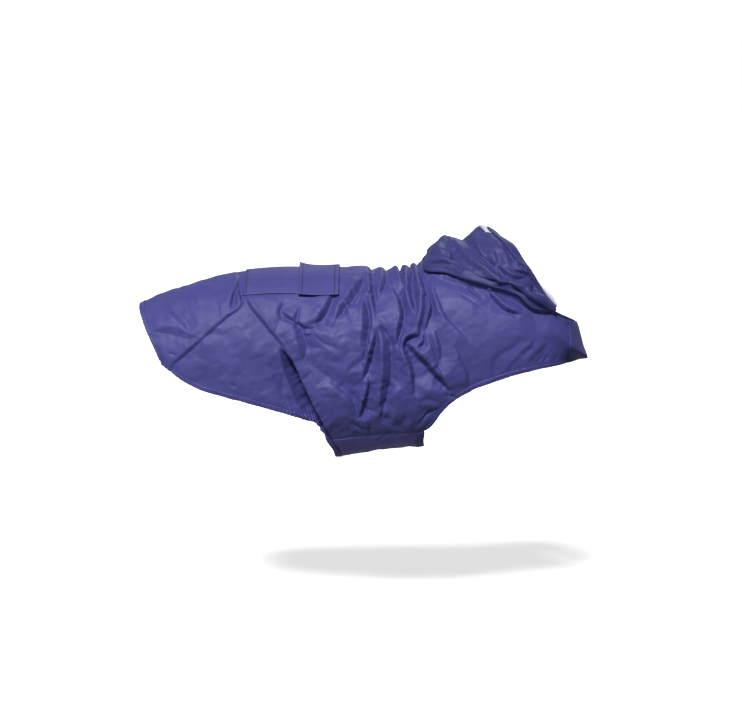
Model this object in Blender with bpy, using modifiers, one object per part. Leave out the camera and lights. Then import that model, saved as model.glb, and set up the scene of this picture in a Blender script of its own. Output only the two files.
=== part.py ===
"""Dog raincoat for a large dog, worn: main panel, belly panel, hood turned down, pocket and hems.

World axes: +X towards the head, +Y to the wearer's left, +Z up. The origin is where the
coat rests on the withers. Sizes in the tables are millimetres.
"""

import math

import bpy
import numpy as np

MM = 0.001

WALL = 1.2  # cloth with its seam allowance
GAP = 0.3  # between neighbouring pieces
HEM = 8.0  # width of the turned hem
SQUARENESS = 0.15  # how far the section is fuller than an ellipse
CHEST_MIDDLE = 179.4  # degrees from the top, where the two fronts end

# One row for each girth ring, from the tail edge to the neck seam. The ring falls from its
# top point to its hem point, which lies at hem_angle from the top. hang is how far the cloth
# below the widest place falls straight, and the side columns move the widest place.
RING_COLUMNS = (
    "top_x", "top_z", "hem_x", "hem_z", "half_width", "hem_angle", "hang", "side_x", "side_z",
)
RINGS = (
    (-454, -66, -408, -152, 88, 90, 0.0, -3, -3),
    (-416, -49, -379, -179, 97, 98, 0.3, 0, 0),
    (-376, -36, -346, -195, 103, 105, 0.5, 0, 0),
    (-328, -22, -302, -207, 108, 113, 0.5, 0, 0),
    (-280, -14, -258, -219, 110, 118, 0.5, 0, 0),
    (-232, -11, -214, -232, 110, 123, 0.4, 0, 0),
    (-192, -11, -178, -248, 112, 129, 0.2, 0, 0),
    (-160, -10, -148, -270, 116, 137, 0.0, -14, 0),
    (-112, -8, -104, -267, 120, 138, 0.0, 0, 0),
    (-72, -9, -56, -263, 123, 139, 0.0, 0, 0),
    (-37, -8, -2, -258, 125, 139.5, 0.0, 0, 0),
    (-10, -3, 26, -224, 126, 127, 0.0, 0, 0),
    (11, 2, 51, -202, 125, 120, 0.0, 0, 0),
    (29, 4, 99, -181, 122, 117, 0.0, 0, 0),
    (43, 6, 150, -166, 117, 118, 0.0, 0, 0),
    (56, 7, 203, -157, 110, 136, 0.0, 0, 0),
    (67, 8, 258, -152, 101, CHEST_MIDDLE, 0.0, 0, -3),
    (78, 8, 240, -95, 95, CHEST_MIDDLE, 0.0, 0, -11),
)
BAND_REAR = 7  # the ring at the rear edge of the belly panel
BAND_FRONT = 10
FRONT_CORNER = 16  # the ring that ends at the hem in the middle of the chest
NECK = 17

# Steps of the main panel's mesh along the coat: first ring, last ring, cells. The tail hem is
# one cell before the first run.
TAIL_HEM = 0.2
BAND_CELLS = 14
REAR_RUNS = ((TAIL_HEM, 4, 5), (4, BAND_REAR, 9))
FRONT_RUNS = ((BAND_FRONT, 12, 5), (12, 15, 4), (15, FRONT_CORNER, 5), (FRONT_CORNER, NECK, 3))
SIDE_CELLS = 14  # cells from the spine to the hem
BELLY_CELLS = 8
SEAM_TURN = 0.008  # radians between the main panel's edge and the belly panel's

# The largest folds, on the right side. height is out of the cloth, the reaches are the width
# of the fold behind and ahead of its line, late moves its peak towards the end of the path,
# and the path gives X and Z.
FOLD_COLUMNS = ("height", "behind", "ahead", "late", "path")
FOLDS = (
    (5, 14, 14, 1, ((-99, -15), (-119, -62), (-121, -86), (-107, -144))),
    (-7, 12, 12, 1, ((-97, -50), (-95, -96), (-101, -144))),
    (5, 14, 14, 1, ((-56, -12), (-30, -72), (-42, -140), (-40, -168))),
    (-8, 12, 12, 1, ((-28, -8), (-30, -28), (-24, -67))),
    (6, 13, 13, 1, ((-20, -2), (-20, -33), (-13, -76))),
    (-10, 13, 13, 1, ((-12, -4), (-4, -38), (5, -62), (-2, -96), (-8, -114))),
    (-7, 13, 13, 1, ((-30, -120), (-15, -137), (9, -162), (36, -193))),
    (-8, 13, 13, 1, ((-71, -105), (-63, -144), (-64, -207))),
    (6, 12, 12, 1, ((-80, -100), (-77, -168), (-80, -231))),
    (-6, 12, 12, 1, ((-79, -108), (-95, -164), (-104, -233))),
    (-19, 32, 17, 2, ((-232, -122), (-209, -181), (-188, -224), (-160, -278))),
    (6, 13, 22, 2, ((-215, -131), (-190, -183), (-160, -236), (-140, -272))),
    (6, 16, 16, 1, ((-201, -183), (-148, -222), (-119, -234), (-80, -236))),
    (-6, 14, 14, 1, ((-196, -159), (-148, -190), (-109, -227))),
)
FOLD_BLUNTNESS = 0.7  # how fast a fold rises from its ends

# One row for each section of the hood, from the top round to the throat, on the left side.
# The cloth leaves the neck seam, lies back, turns at fold, and comes over back, a dip and the
# crown to the face edge.
HOOD_COLUMNS = (
    "angle", "fold_x", "fold_y", "fold_z", "back_x", "back_y", "back_z", "dip_x", "dip_y", "dip_z",
    "crown_x", "crown_y", "crown_z", "face_x", "face_y", "face_z",
)
HOOD_SECTIONS = (
    (0, 0, 0, 3, 31, 0, 40, 58, 0, 32, 88, 0, 51, 112, 0, 40),
    (25, 0, 56, -13, 21, 57, 25, 54, 50, 23, 90, 36, 46, 119, 32, 34),
    (50, 34, 80, -15, 43, 88, 3, 70, 79, 7, 104, 65, 32, 136, 56, 24),
    (75, 88, 100, -28, 88, 106, -18, 101, 97, -11, 129, 87, 11, 152, 72, 4),
    (100, 136, 105, -41, 136, 110, -32, 139, 103, -20, 151, 94, -9, 166, 77, -16),
    (115, 162, 98, -59, 160, 101, -52, 162, 98, -43, 170, 90, -37, 184, 77, -46),
    (129, 202, 84, -78, 197, 84, -75, 195, 83, -72, 197, 80, -69, 202, 76, -67),
)
HOOD_END = 129.0  # where the face edge comes down to the neck edge
HOOD_LIFT = 3.0  # the hood seam above the neck edge
HOOD_SLACK = 8.0  # the hood's lower layer above the coat at the top,
SLACK_END = 129.0  # falling to nothing at this angle
HOOD_REST = 4.0  # the nearest that its lower layer comes to the coat
LAYER_REST = 9.0  # and its upper layer, which lies on the lower one
LAYER_ROWS = (4, 6)  # rows of the hood's mesh between which it turns from one to the other
REST_FROM = 9  # the first ring under the hood
REST_FADE = 3.0  # past the neck edge, where the hood no longer rests on the coat
CASING_WIDTH = 19.0
CASING_SHARE = 0.25  # and no more than this share of a section
CASING_SEAM = 0.015  # half the gap between hood and casing, as a share of the casing
HOOD_AROUND = 26
HOOD_DOWN = 10
CASING_DOWN = 3
LINING_WALL = 0.8
LINING_GAP = 1.2  # inside the hood and its casing
LINING_FROM = 7  # the row of the hood's mesh where the lining that shows begins
LINING_ROLL = 8.0  # how far the lining rolls out over the face edge at the throat
LINING_ROLL_ANGLE = 116.0
LINING_ROLL_SPREAD = 14.0
CASING_WALL = 2.2

STRIP_WIDTH = 10.0
STRIP_HALF_ANGLE = 30.0
STRIP_FROM_EDGE = 22.0
STRIP_WALL = 0.6
STRIP_CELLS = (8, 2)

POCKET_REAR = -285.0
POCKET_FRONT = -139.0
POCKET_ANGLE = 41.0
POCKET_CELLS = (8, 10)  # along the coat and across it
POCKET_WALL = 1.0
POCKET_CREST = 0.8
FLAP_REAR = -200.0
FLAP_FRONT = -136.0
FLAP_ANGLE = 43.0
FLAP_CELLS = (4, 16)
FLAP_WALL = 1.2
FLAP_LIFT = 1.2
FLAP_PINCH = 5.0  # the lifted wrinkle beside the spine on the flap's free edge
PINCH_PLACE = 0.1  # as shares of the flap's half width
PINCH_REACH = 0.16

OVERLAP_EDGE = 222.0  # where the left front's edge lies on the right side
OVERLAP_WALL = 1.2
OVERLAP_CELLS = 8
OVERLAP_SWEEP = 60  # degrees, from where each row is searched for the edge
OVERLAP_ROOM = 1.2  # between the overlap and the cloth below it
HEM_WALL = 1.0

NYLON = (0.055, 0.050, 0.250, 1.0)
NYLON_SHADE = (0.045, 0.040, 0.210, 1.0)
MESH_WHITE = (0.72, 0.70, 0.78, 1.0)
TAPE_GREY = (0.70, 0.72, 0.74, 1.0)


def hermite(knots, values, at):
    """Smooth curve through values at the knots, with slopes from both neighbours."""
    knots = np.asarray(knots, float)
    values = np.asarray(values, float)
    at = np.clip(at, knots[0], knots[-1])
    steps = np.diff(knots)
    secants = np.diff(values) / steps
    slopes = np.empty_like(values)
    slopes[1:-1] = (secants[:-1] * steps[1:] + secants[1:] * steps[:-1]) / (steps[1:] + steps[:-1])
    slopes[0], slopes[-1] = secants[0], secants[-1]
    cell = np.clip(np.searchsorted(knots, at, side="right") - 1, 0, len(steps) - 1)
    step = steps[cell]
    part = (at - knots[cell]) / step
    rise = part * part * (3 - 2 * part)
    lead = part * (1 - part) ** 2 * step
    trail = part * part * (part - 1) * step
    return (
        values[cell] * (1 - rise) + values[cell + 1] * rise
        + slopes[cell] * lead + slopes[cell + 1] * trail
    )


def ring_value(column, station):
    found = hermite(range(len(RINGS)), [row[RING_COLUMNS.index(column)] for row in RINGS], station)
    return np.minimum(found, CHEST_MIDDLE) if column == "hem_angle" else found


def base_point(station, angle):
    """Smooth coat surface. angle is in radians from the top, negative on the right side."""
    station, angle = np.broadcast_arrays(np.asarray(station, float), np.asarray(angle, float))
    share = {name: ring_value(name, station) for name in RING_COLUMNS}
    hem_fall = (1 - np.cos(np.radians(share["hem_angle"]))) / 2
    fall = (1 - np.cos(angle)) / 2
    side = np.sin(angle) ** 2
    along = share["top_x"] + (share["hem_x"] - share["top_x"]) * fall / hem_fall
    height = share["top_z"] + (share["hem_z"] - share["top_z"]) * fall / hem_fall
    spread = np.sin(angle)
    spread = spread * (1 + SQUARENESS * np.cos(angle) ** 2)
    below = np.where(np.abs(angle) > math.pi / 2, share["hang"], 0.0)
    spread = spread + np.sign(angle) * below * (1 - np.abs(np.sin(angle)))
    return np.stack(
        (along + share["side_x"] * side, share["half_width"] * spread, height + share["side_z"] * side),
        axis=-1,
    )


def outward(surface, first, second, step_first=0.01, step_second=0.01):
    """Unit normals of a surface function of two parameters."""
    low = np.clip(first - step_first, 0, NECK)
    high = np.clip(first + step_first, 0, NECK)
    along = surface(high, second) - surface(low, second)
    across = surface(first, second + step_second) - surface(first, second - step_second)
    normal = np.cross(along, across)
    return normal / np.linalg.norm(normal, axis=-1, keepdims=True)


def fold_height(points):
    """How far the folds lift the cloth at these points, the left side mirroring the right."""
    flat = points.reshape(-1, 3)
    place = flat[:, [0, 2]]
    total = np.zeros(len(flat))
    for height, behind, ahead, late, path in FOLDS:
        path = np.asarray(path, float)
        runs = np.diff(path, axis=0)
        lengths = np.linalg.norm(runs, axis=1)
        starts = np.concatenate([[0], np.cumsum(lengths)])
        best = np.full(len(flat), 1e9)
        signed = np.zeros(len(flat))
        travel = np.zeros(len(flat))
        for index, run in enumerate(runs):
            offset = place - path[index]
            part = np.clip(offset @ run / lengths[index] ** 2, 0, 1)
            gap = offset - part[:, None] * run
            distance = np.hypot(gap[:, 0], gap[:, 1])
            nearer = distance < best
            best = np.where(nearer, distance, best)
            side = np.sign(run[0] * offset[:, 1] - run[1] * offset[:, 0])
            signed = np.where(nearer, side * distance, signed)
            travel = np.where(nearer, (starts[index] + part * lengths[index]) / starts[-1], travel)
        reach = np.where(signed > 0, ahead, behind)
        profile = np.clip(1 - best / reach, 0, 1)
        profile = profile * profile * (3 - 2 * profile)
        total += height * profile * np.abs(np.sin(math.pi * travel**late)) ** FOLD_BLUNTNESS
    return total.reshape(points.shape[:-1])


def coat_point(station, angle, lift=0.0):
    """Coat surface with its folds, moved out by lift."""
    station, angle = np.broadcast_arrays(np.asarray(station, float), np.asarray(angle, float))
    points = base_point(station, angle)
    height = fold_height(points) + lift
    return points + outward(base_point, station, angle) * height[..., None]


def station_at(along, angle):
    """The station where the coat passes this X, in millimetres, at this angle."""
    stations = np.linspace(0, NECK, 400)
    return np.interp(along, base_point(stations, angle)[:, 0], stations)


def section_length(station):
    angles = np.linspace(0, 1, 40) * math.radians(float(ring_value("hem_angle", station)))
    points = base_point(station, angles)
    return np.linalg.norm(np.diff(points, axis=0), axis=1).sum()


def hem_columns(station):
    """Angles across the coat at one station, from the right hem to the left."""
    hem = math.radians(float(ring_value("hem_angle", station)))
    inner = 1 - HEM / section_length(station)
    half = np.append(np.linspace(0, inner, SIDE_CELLS), 1)
    return hem * np.concatenate([-half[:0:-1], half])


def band_stations():
    """Stations along the belly seam, with one hem's width at each end."""
    edge = np.linalg.norm(base_point(BAND_REAR, math.pi) - base_point(BAND_FRONT, math.pi))
    hem = HEM / edge * (BAND_FRONT - BAND_REAR)
    middle = np.linspace(BAND_REAR + hem, BAND_FRONT - hem, BAND_CELLS - 1)
    return np.concatenate([[BAND_REAR], middle, [BAND_FRONT]])


def panel_stations():
    stations = [0.0, TAIL_HEM]
    for first, last, cells in REAR_RUNS:
        stations.extend(np.linspace(first, last, cells + 1)[1:])
    stations.extend(band_stations()[1:])
    for first, last, cells in FRONT_RUNS:
        stations.extend(np.linspace(first, last, cells + 1)[1:])
    return np.array(stations)


def neck_axis():
    """Unit vector out of the neck opening, square to the plane of the neck edge."""
    top, bottom = base_point(NECK, 0.0), base_point(NECK, math.pi)
    chord = (bottom - top) / np.linalg.norm(bottom - top)
    return np.array([-chord[2], 0.0, chord[0]])


def hood_controls(angle):
    """The hood section's control points at this angle in degrees, positive on the left."""
    turn = abs(angle)
    values = {
        name: float(hermite(
            [row[0] for row in HOOD_SECTIONS],
            [row[HOOD_COLUMNS.index(name)] for row in HOOD_SECTIONS],
            turn,
        ))
        for name in HOOD_COLUMNS[1:]
    }
    side = -1.0 if angle < 0 else 1.0
    seam = base_point(NECK, math.radians(angle)) + neck_axis() * HOOD_LIFT
    points = [
        np.array([values[name + "_x"], side * values[name + "_y"], values[name + "_z"]])
        for name in ("fold", "back", "dip", "crown", "face")
    ]
    away = np.array([0.0, side * math.sin(math.radians(turn)), max(math.cos(math.radians(turn)), 0)])
    under = (seam + points[0]) / 2 + away * HOOD_SLACK * max(0.0, 1 - turn / SLACK_END)
    return np.array([seam, under, *points])


def through(points, shares):
    """Points at these shares of the length of a smooth curve through the given points."""
    chords = np.concatenate([[0], np.cumsum(np.linalg.norm(np.diff(points, axis=0), axis=1))])
    fine = np.linspace(0, chords[-1], 160)
    curve = np.stack([hermite(chords, points[:, axis], fine) for axis in range(3)], axis=1)
    lengths = np.concatenate([[0], np.cumsum(np.linalg.norm(np.diff(curve, axis=0), axis=1))])
    at = np.asarray(shares) * lengths[-1]
    return np.stack([np.interp(at, lengths, curve[:, axis]) for axis in range(3)], axis=1), lengths[-1]


def hood_grid(angles, first, last, cells):
    """Hood sections between two places, in casing widths from the face edge; None is the seam."""
    grid = []
    for angle in angles:
        controls = hood_controls(angle)
        length = through(controls, [0.0])[1]
        casing = min(CASING_WIDTH, CASING_SHARE * length) / length
        start = 0.0 if first is None else 1 - first * casing
        grid.append(through(controls, np.linspace(start, 1 - last * casing, cells + 1))[0])
    return np.array(grid)


def rest_on_coat(points, clearance):
    """Move points that lie nearer to the coat than the clearance out along its normals.

    The clearance is one height or one for each column. Points past the neck edge have no coat
    below them and stay where they are.
    """
    stations = np.linspace(REST_FROM, NECK, 60)[:, None]
    turns = np.radians(ring_value("hem_angle", stations)) * np.linspace(-1, 1, 81)
    surface = coat_point(stations, turns).reshape(-1, 3)
    normals = outward(base_point, *np.broadcast_arrays(stations, turns)).reshape(-1, 3)
    flat = points.reshape(-1, 3)
    nearest = np.array([np.argmin(((surface - point) ** 2).sum(axis=1)) for point in flat])
    height = ((flat - surface[nearest]) * normals[nearest]).sum(axis=1)
    past_edge = (flat - base_point(NECK, 0.0)) @ neck_axis()
    over_coat = 1 - np.clip(past_edge / REST_FADE, 0, 1)
    wanted = np.broadcast_to(clearance, points.shape[:-1]).reshape(-1)
    push = np.maximum(wanted - height, 0) * over_coat
    return (flat + normals[nearest] * push[:, None]).reshape(points.shape)


def material(name, colour, roughness):
    made = bpy.data.materials.new(name)
    made.use_nodes = True
    shader = made.node_tree.nodes["Principled BSDF"]
    shader.inputs["Base Color"].default_value = colour
    shader.inputs["Roughness"].default_value = roughness
    shader.inputs["Metallic"].default_value = 0.0
    return made


def grid_faces(rows, columns):
    return [
        (row * columns + column, (row + 1) * columns + column,
         (row + 1) * columns + column + 1, row * columns + column + 1)
        for row in range(rows - 1)
        for column in range(columns - 1)
    ]


def mesh_normals(points, faces):
    """Area-weighted vertex normals of a faceted sheet."""
    flat = points.reshape(-1, 3)
    normals = np.zeros_like(flat)
    for face in faces:
        corner = flat[list(face)]
        normal = np.cross(corner[2] - corner[0], corner[3] - corner[1])
        for vertex in face:
            normals[vertex] += normal
    return normals / np.linalg.norm(normals, axis=1, keepdims=True)


def cloth(name, points, faces, wall, finish, grows=1.0):
    """A sheet of points in millimetres, given its wall by Solidify."""
    used = sorted({vertex for face in faces for vertex in face})
    number = {vertex: index for index, vertex in enumerate(used)}
    flat = points.reshape(-1, 3)[used] * MM
    mesh = bpy.data.meshes.new(name)
    mesh.from_pydata(flat.tolist(), [], [[number[vertex] for vertex in face] for face in faces])
    mesh.materials.append(finish)
    mesh.shade_smooth()
    made = bpy.data.objects.new(name, mesh)
    COAT.objects.link(made)
    solid = made.modifiers.new("Wall", "SOLIDIFY")
    solid.thickness = wall * MM
    solid.offset = grows
    return made


def make_main_panel(finish, hem_finish):
    """The main panel, with the turned hems lying on its outermost row of cells."""
    stations = panel_stations()
    angles = np.array([hem_columns(station) for station in stations])
    points = coat_point(stations[:, None], angles)
    rows, columns = angles.shape
    faces = grid_faces(rows, columns)
    cloth("main_panel", points, faces, WALL, finish)

    raised = points.reshape(-1, 3) + mesh_normals(points, faces) * (WALL + 2 * GAP)
    band_rear = int(np.argmin(np.abs(stations - BAND_REAR)))
    band_front = int(np.argmin(np.abs(stations - BAND_FRONT)))
    corner = int(np.argmin(np.abs(stations - FRONT_CORNER)))
    lapped = overlap_corner()
    cells = [(row, column) for row in range(rows - 1) for column in range(columns - 1)]
    last = columns - 2
    hems = {
        "rear_hem": [
            row == 0 or (row < band_rear and column in (0, last)) for row, column in cells
        ],
        "chest_hem_right": [
            band_front <= row and stations[row + 1] < lapped and column == 0
            for row, column in cells
        ],
        "chest_hem_left": [
            band_front <= row < corner and column == last for row, column in cells
        ],
    }
    for name, chosen in hems.items():
        kept = [face for face, keep in zip(faces, chosen) if keep]
        cloth(name, raised, kept, HEM_WALL, hem_finish)
    return stations, angles, points


def make_belly_panel(finish, hem_finish):
    """The belly panel, from one belly seam under the belly to the other, and its hems."""
    grid = []
    for station in band_stations():
        seam = math.radians(float(ring_value("hem_angle", station))) + SEAM_TURN
        angles = np.linspace(-seam, seam - 2 * math.pi, BELLY_CELLS + 1)
        grid.append(coat_point(station, angles[::-1]))
    points = np.array(grid)
    rows, columns = points.shape[:2]
    faces = grid_faces(rows, columns)
    cloth("belly_panel", points, faces, WALL, finish)
    raised = points.reshape(-1, 3) + mesh_normals(points, faces) * (WALL + 2 * GAP)
    per_row = columns - 1
    cloth("belly_hem_rear", raised, faces[:per_row], HEM_WALL, hem_finish)
    cloth("belly_hem_front", raised, faces[-per_row:], HEM_WALL, hem_finish)


def overlap_corner():
    """The station on the hem where the left front's edge crosses it."""
    stations = np.linspace(FRONT_CORNER - 1, FRONT_CORNER, 200)
    along = base_point(stations, np.radians(ring_value("hem_angle", stations)))[:, 0]
    return float(np.interp(OVERLAP_EDGE, along, stations))


def make_front_overlap(panel, finish):
    """The left front's end, lapped over the right front from mid chest, on the panel's own rows."""
    stations, angles, points = panel
    normals = mesh_normals(points, grid_faces(*angles.shape)).reshape(points.shape)
    raised = points + normals * (WALL + OVERLAP_ROOM)
    grid = []
    for row in np.flatnonzero(stations > overlap_corner()):
        sweep = np.linspace(OVERLAP_SWEEP, ring_value("hem_angle", stations[row]), 200)
        along = base_point(stations[row], np.radians(sweep))[:, 0]
        edge = np.interp(OVERLAP_EDGE, along, sweep)
        turns = -np.radians(np.linspace(sweep[-1], edge, OVERLAP_CELLS + 1))
        grid.append([[np.interp(turn, angles[row], line) for line in raised[row].T] for turn in turns])
    grid = np.array(grid)
    cloth("front_overlap", grid, grid_faces(*grid.shape[:2]), OVERLAP_WALL, finish)


def make_hood(finish, hem_finish, lining, tape):
    """Hood, elastic casing, mesh lining and the reflective strip."""
    angles = np.linspace(HOOD_END, -HOOD_END, HOOD_AROUND + 1)
    clearance = np.interp(np.arange(HOOD_DOWN + 1), LAYER_ROWS, (HOOD_REST, LAYER_REST))
    hood = rest_on_coat(hood_grid(angles, None, 1 + CASING_SEAM, HOOD_DOWN), clearance)
    cloth("hood", hood, grid_faces(*hood.shape[:2]), WALL, finish)
    casing = rest_on_coat(hood_grid(angles, 1 - CASING_SEAM, 0.0, CASING_DOWN), LAYER_REST)
    cloth("hood_casing", casing, grid_faces(*casing.shape[:2]), CASING_WALL, hem_finish)

    inner = np.concatenate([hood[:, LINING_FROM:], casing[:, 1:]], axis=1)
    faces = grid_faces(*inner.shape[:2])
    inner = inner - mesh_normals(inner, faces).reshape(inner.shape) * LINING_GAP
    ahead = inner[:, -1] - inner[:, -2]
    ahead /= np.linalg.norm(ahead, axis=1, keepdims=True)
    spread = (np.abs(angles) - LINING_ROLL_ANGLE) / LINING_ROLL_SPREAD
    roll = 1.0 + LINING_ROLL * np.exp(-spread * spread)
    inner = np.concatenate([inner, (inner[:, -1] + ahead * roll[:, None])[:, None]], axis=1)
    cloth("hood_lining", inner, grid_faces(*inner.shape[:2]), LINING_WALL, lining, grows=-1.0)

    across = np.linspace(STRIP_HALF_ANGLE, -STRIP_HALF_ANGLE, STRIP_CELLS[0] + 1)
    rows = []
    for angle in across:
        controls = hood_controls(angle)
        length = through(controls, [0.0])[1]
        ends = [1 - (STRIP_FROM_EDGE + width) / length for width in (STRIP_WIDTH, 0.0)]
        rows.append(through(controls, np.linspace(*ends, STRIP_CELLS[1] + 1))[0])
    strip = np.array(rows)
    faces = grid_faces(*strip.shape[:2])
    strip = strip + mesh_normals(strip, faces).reshape(strip.shape) * (WALL + 2 * GAP)
    cloth("reflective_strip", strip, faces, STRIP_WALL, tape)


def patch(rear, front, half_angle, along_cells, across_cells, lift):
    """A patch on the back between two X places, with lift as a function of its shares."""
    along = np.linspace(0, 1, along_cells + 1)
    turns = np.radians(np.linspace(-half_angle, half_angle, across_cells + 1))
    stations = np.array([
        [station_at(rear + (front - rear) * share, turn) for turn in turns] for share in along
    ])
    share_across = np.linspace(-1, 1, across_cells + 1)[None, :]
    return coat_point(stations, turns[None, :], lift(along[:, None], share_across))


def make_pocket(finish, hem_finish):
    """The patch pocket across the spine and its flap, which is sewn at its front edge."""
    base = WALL + 2 * GAP

    def pocket_lift(along, across):
        return base + POCKET_CREST * np.sin(math.pi * along) * (1 - across**2)

    def flap_lift(along, across):
        free = (1 - along) ** 2
        pinch = FLAP_PINCH * free**2 * np.exp(-(((across - PINCH_PLACE) / PINCH_REACH) ** 2))
        return base + POCKET_CREST + POCKET_WALL + GAP + FLAP_LIFT * free + pinch

    points = patch(POCKET_REAR, POCKET_FRONT, POCKET_ANGLE, *POCKET_CELLS, pocket_lift)
    cloth("pocket", points, grid_faces(*points.shape[:2]), POCKET_WALL, finish)
    points = patch(FLAP_REAR, FLAP_FRONT, FLAP_ANGLE, *FLAP_CELLS, flap_lift)
    cloth("pocket_flap", points, grid_faces(*points.shape[:2]), FLAP_WALL, hem_finish)


for old in list(bpy.data.objects):
    bpy.data.objects.remove(old, do_unlink=True)
COAT = bpy.data.collections.new("dog_raincoat")
bpy.context.scene.collection.children.link(COAT)

nylon = material("nylon", NYLON, 0.42)
nylon_edge = material("nylon_edge", NYLON_SHADE, 0.45)
mesh_lining = material("mesh_lining", MESH_WHITE, 0.85)
reflective_tape = material("reflective_tape", TAPE_GREY, 0.35)

panel = make_main_panel(nylon, nylon_edge)
make_belly_panel(nylon, nylon_edge)
make_front_overlap(panel, nylon)
make_hood(nylon, nylon_edge, mesh_lining, reflective_tape)
make_pocket(nylon, nylon_edge)
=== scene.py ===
"""Looks of the dog raincoat: fine shells of cloth, stitching, floor, light and camera on the CAD frame.

Sizes in the tables are millimetres in the row's frame: +X towards the head, +Y to the wearer's
left, +Z up. The coat's surface follows the CAD's, with every large crease listed one by one.
"""

import math

import bpy
import numpy as np
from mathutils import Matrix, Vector
from mathutils.geometry import delaunay_2d_cdt
from mathutils.kdtree import KDTree


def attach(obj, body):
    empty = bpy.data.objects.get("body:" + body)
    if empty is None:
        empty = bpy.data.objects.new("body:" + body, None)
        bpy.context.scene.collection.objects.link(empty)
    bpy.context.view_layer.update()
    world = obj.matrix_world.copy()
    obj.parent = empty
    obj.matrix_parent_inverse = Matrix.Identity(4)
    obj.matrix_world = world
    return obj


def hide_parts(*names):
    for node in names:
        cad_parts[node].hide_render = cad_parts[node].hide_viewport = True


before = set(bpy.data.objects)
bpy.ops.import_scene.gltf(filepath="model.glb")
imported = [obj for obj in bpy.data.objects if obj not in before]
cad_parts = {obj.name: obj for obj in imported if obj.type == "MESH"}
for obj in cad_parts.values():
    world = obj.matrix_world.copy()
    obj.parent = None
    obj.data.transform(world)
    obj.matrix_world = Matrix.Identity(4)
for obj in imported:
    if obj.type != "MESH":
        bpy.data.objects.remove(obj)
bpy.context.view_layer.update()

MM = 0.001
MIRROR = np.array([1.0, -1.0, 1.0])


# ---------------------------------------------------------------- curves and grids


def ease(share):
    """From 0 to 1 with a smooth start and end, as the share does."""
    share = np.clip(share, 0, 1)
    return share * share * (3 - 2 * share)


def bell(distance, reach):
    """1 at no distance, dying away over the reach."""
    return np.exp(-((distance / reach) ** 2))


def unit(vectors):
    return vectors / np.maximum(np.linalg.norm(vectors, axis=-1, keepdims=True), 1e-9)


def travelled(line):
    """The length travelled along a line at each of its points."""
    return np.concatenate([[0], np.cumsum(np.linalg.norm(np.diff(line, axis=0), axis=1))])


def sampled(values, knots, at):
    """Rows of values given at the knots, read at these places."""
    return np.stack([np.interp(at, knots, column) for column in values.T], axis=-1)


def hermite(knots, values, at):
    """Smooth curve through values at the knots, with slopes from both neighbours."""
    knots = np.asarray(knots, float)
    values = np.asarray(values, float)
    at = np.clip(at, knots[0], knots[-1])
    steps = np.diff(knots)
    secants = np.diff(values) / steps
    slopes = np.empty_like(values)
    slopes[1:-1] = (secants[:-1] * steps[1:] + secants[1:] * steps[:-1]) / (steps[1:] + steps[:-1])
    slopes[0], slopes[-1] = secants[0], secants[-1]
    cell = np.clip(np.searchsorted(knots, at, side="right") - 1, 0, len(steps) - 1)
    step = steps[cell]
    part = (at - knots[cell]) / step
    rise = part * part * (3 - 2 * part)
    lead = part * (1 - part) ** 2 * step
    trail = part * part * (part - 1) * step
    return (
        values[cell] * (1 - rise) + values[cell + 1] * rise
        + slopes[cell] * lead + slopes[cell + 1] * trail
    )


def smooth_curve(points, count):
    """This many points on a smooth curve through the given ones."""
    chords = travelled(points)
    fine = np.linspace(0, chords[-1], count)
    return np.stack([hermite(chords, column, fine) for column in points.T], axis=1)


def smooth_path(path, parts):
    """A path with each stretch in parts, on a smooth curve; a straight one stays as it is."""
    path = np.asarray(path, float)
    return path if len(path) < 3 else smooth_curve(path, (len(path) - 1) * parts + 1)


def tree_of(places):
    """A search tree of places in space; those of the side view have no third coordinate."""
    tree = KDTree(len(places))
    for index, place in enumerate(places):
        tree.insert((*place, 0.0)[:3], index)
    tree.balance()
    return tree


def grid_normals(points):
    """Unit normals of a grid of points, on the coat's outer side."""
    return unit(np.cross(np.gradient(points, axis=0), np.gradient(points, axis=1)))


def moved_out(points, height):
    """A grid of points moved along its normals, and its new normals."""
    moved = points + grid_normals(points) * height[..., None]
    return moved, grid_normals(moved)


# ---------------------------------------------------------------- camera and side view

VIEW_CENTRE = np.array([-86.4, 0.0, -162.0])
VIEW_DISTANCE = 3200.0
VIEW_ELEVATION = math.radians(6.0)
MM_PER_PIXEL = 1.6  # in the plane of the spine
FRAME_WIDTH = 742
SENSOR = 36.0
VIEW_AHEAD = np.array([0.0, math.cos(VIEW_ELEVATION), -math.sin(VIEW_ELEVATION)])
VIEW_UP = np.array([0.0, math.sin(VIEW_ELEVATION), math.cos(VIEW_ELEVATION)])
# Crease paths are read in the side view from the right: millimetres ahead of the withers and
# above this height, measured in the plane of the spine.
SIDE_ORIGIN = np.array([-86.4, -152.0])
# The left side's creases part from the right's over FAR_FADE from the spine: they lie further
# ahead, by a shift and a sway, and higher, by a share of their height and a heave.
FAR_FADE = 25.0
FAR_AHEAD = 6.0
FAR_SWAY = 9.0
FAR_SWAY_LENGTH = 37.0
FAR_HIGHER = 0.03
FAR_HEAVE = 5.0
FAR_HEAVE_LENGTH = 45.0


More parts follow.
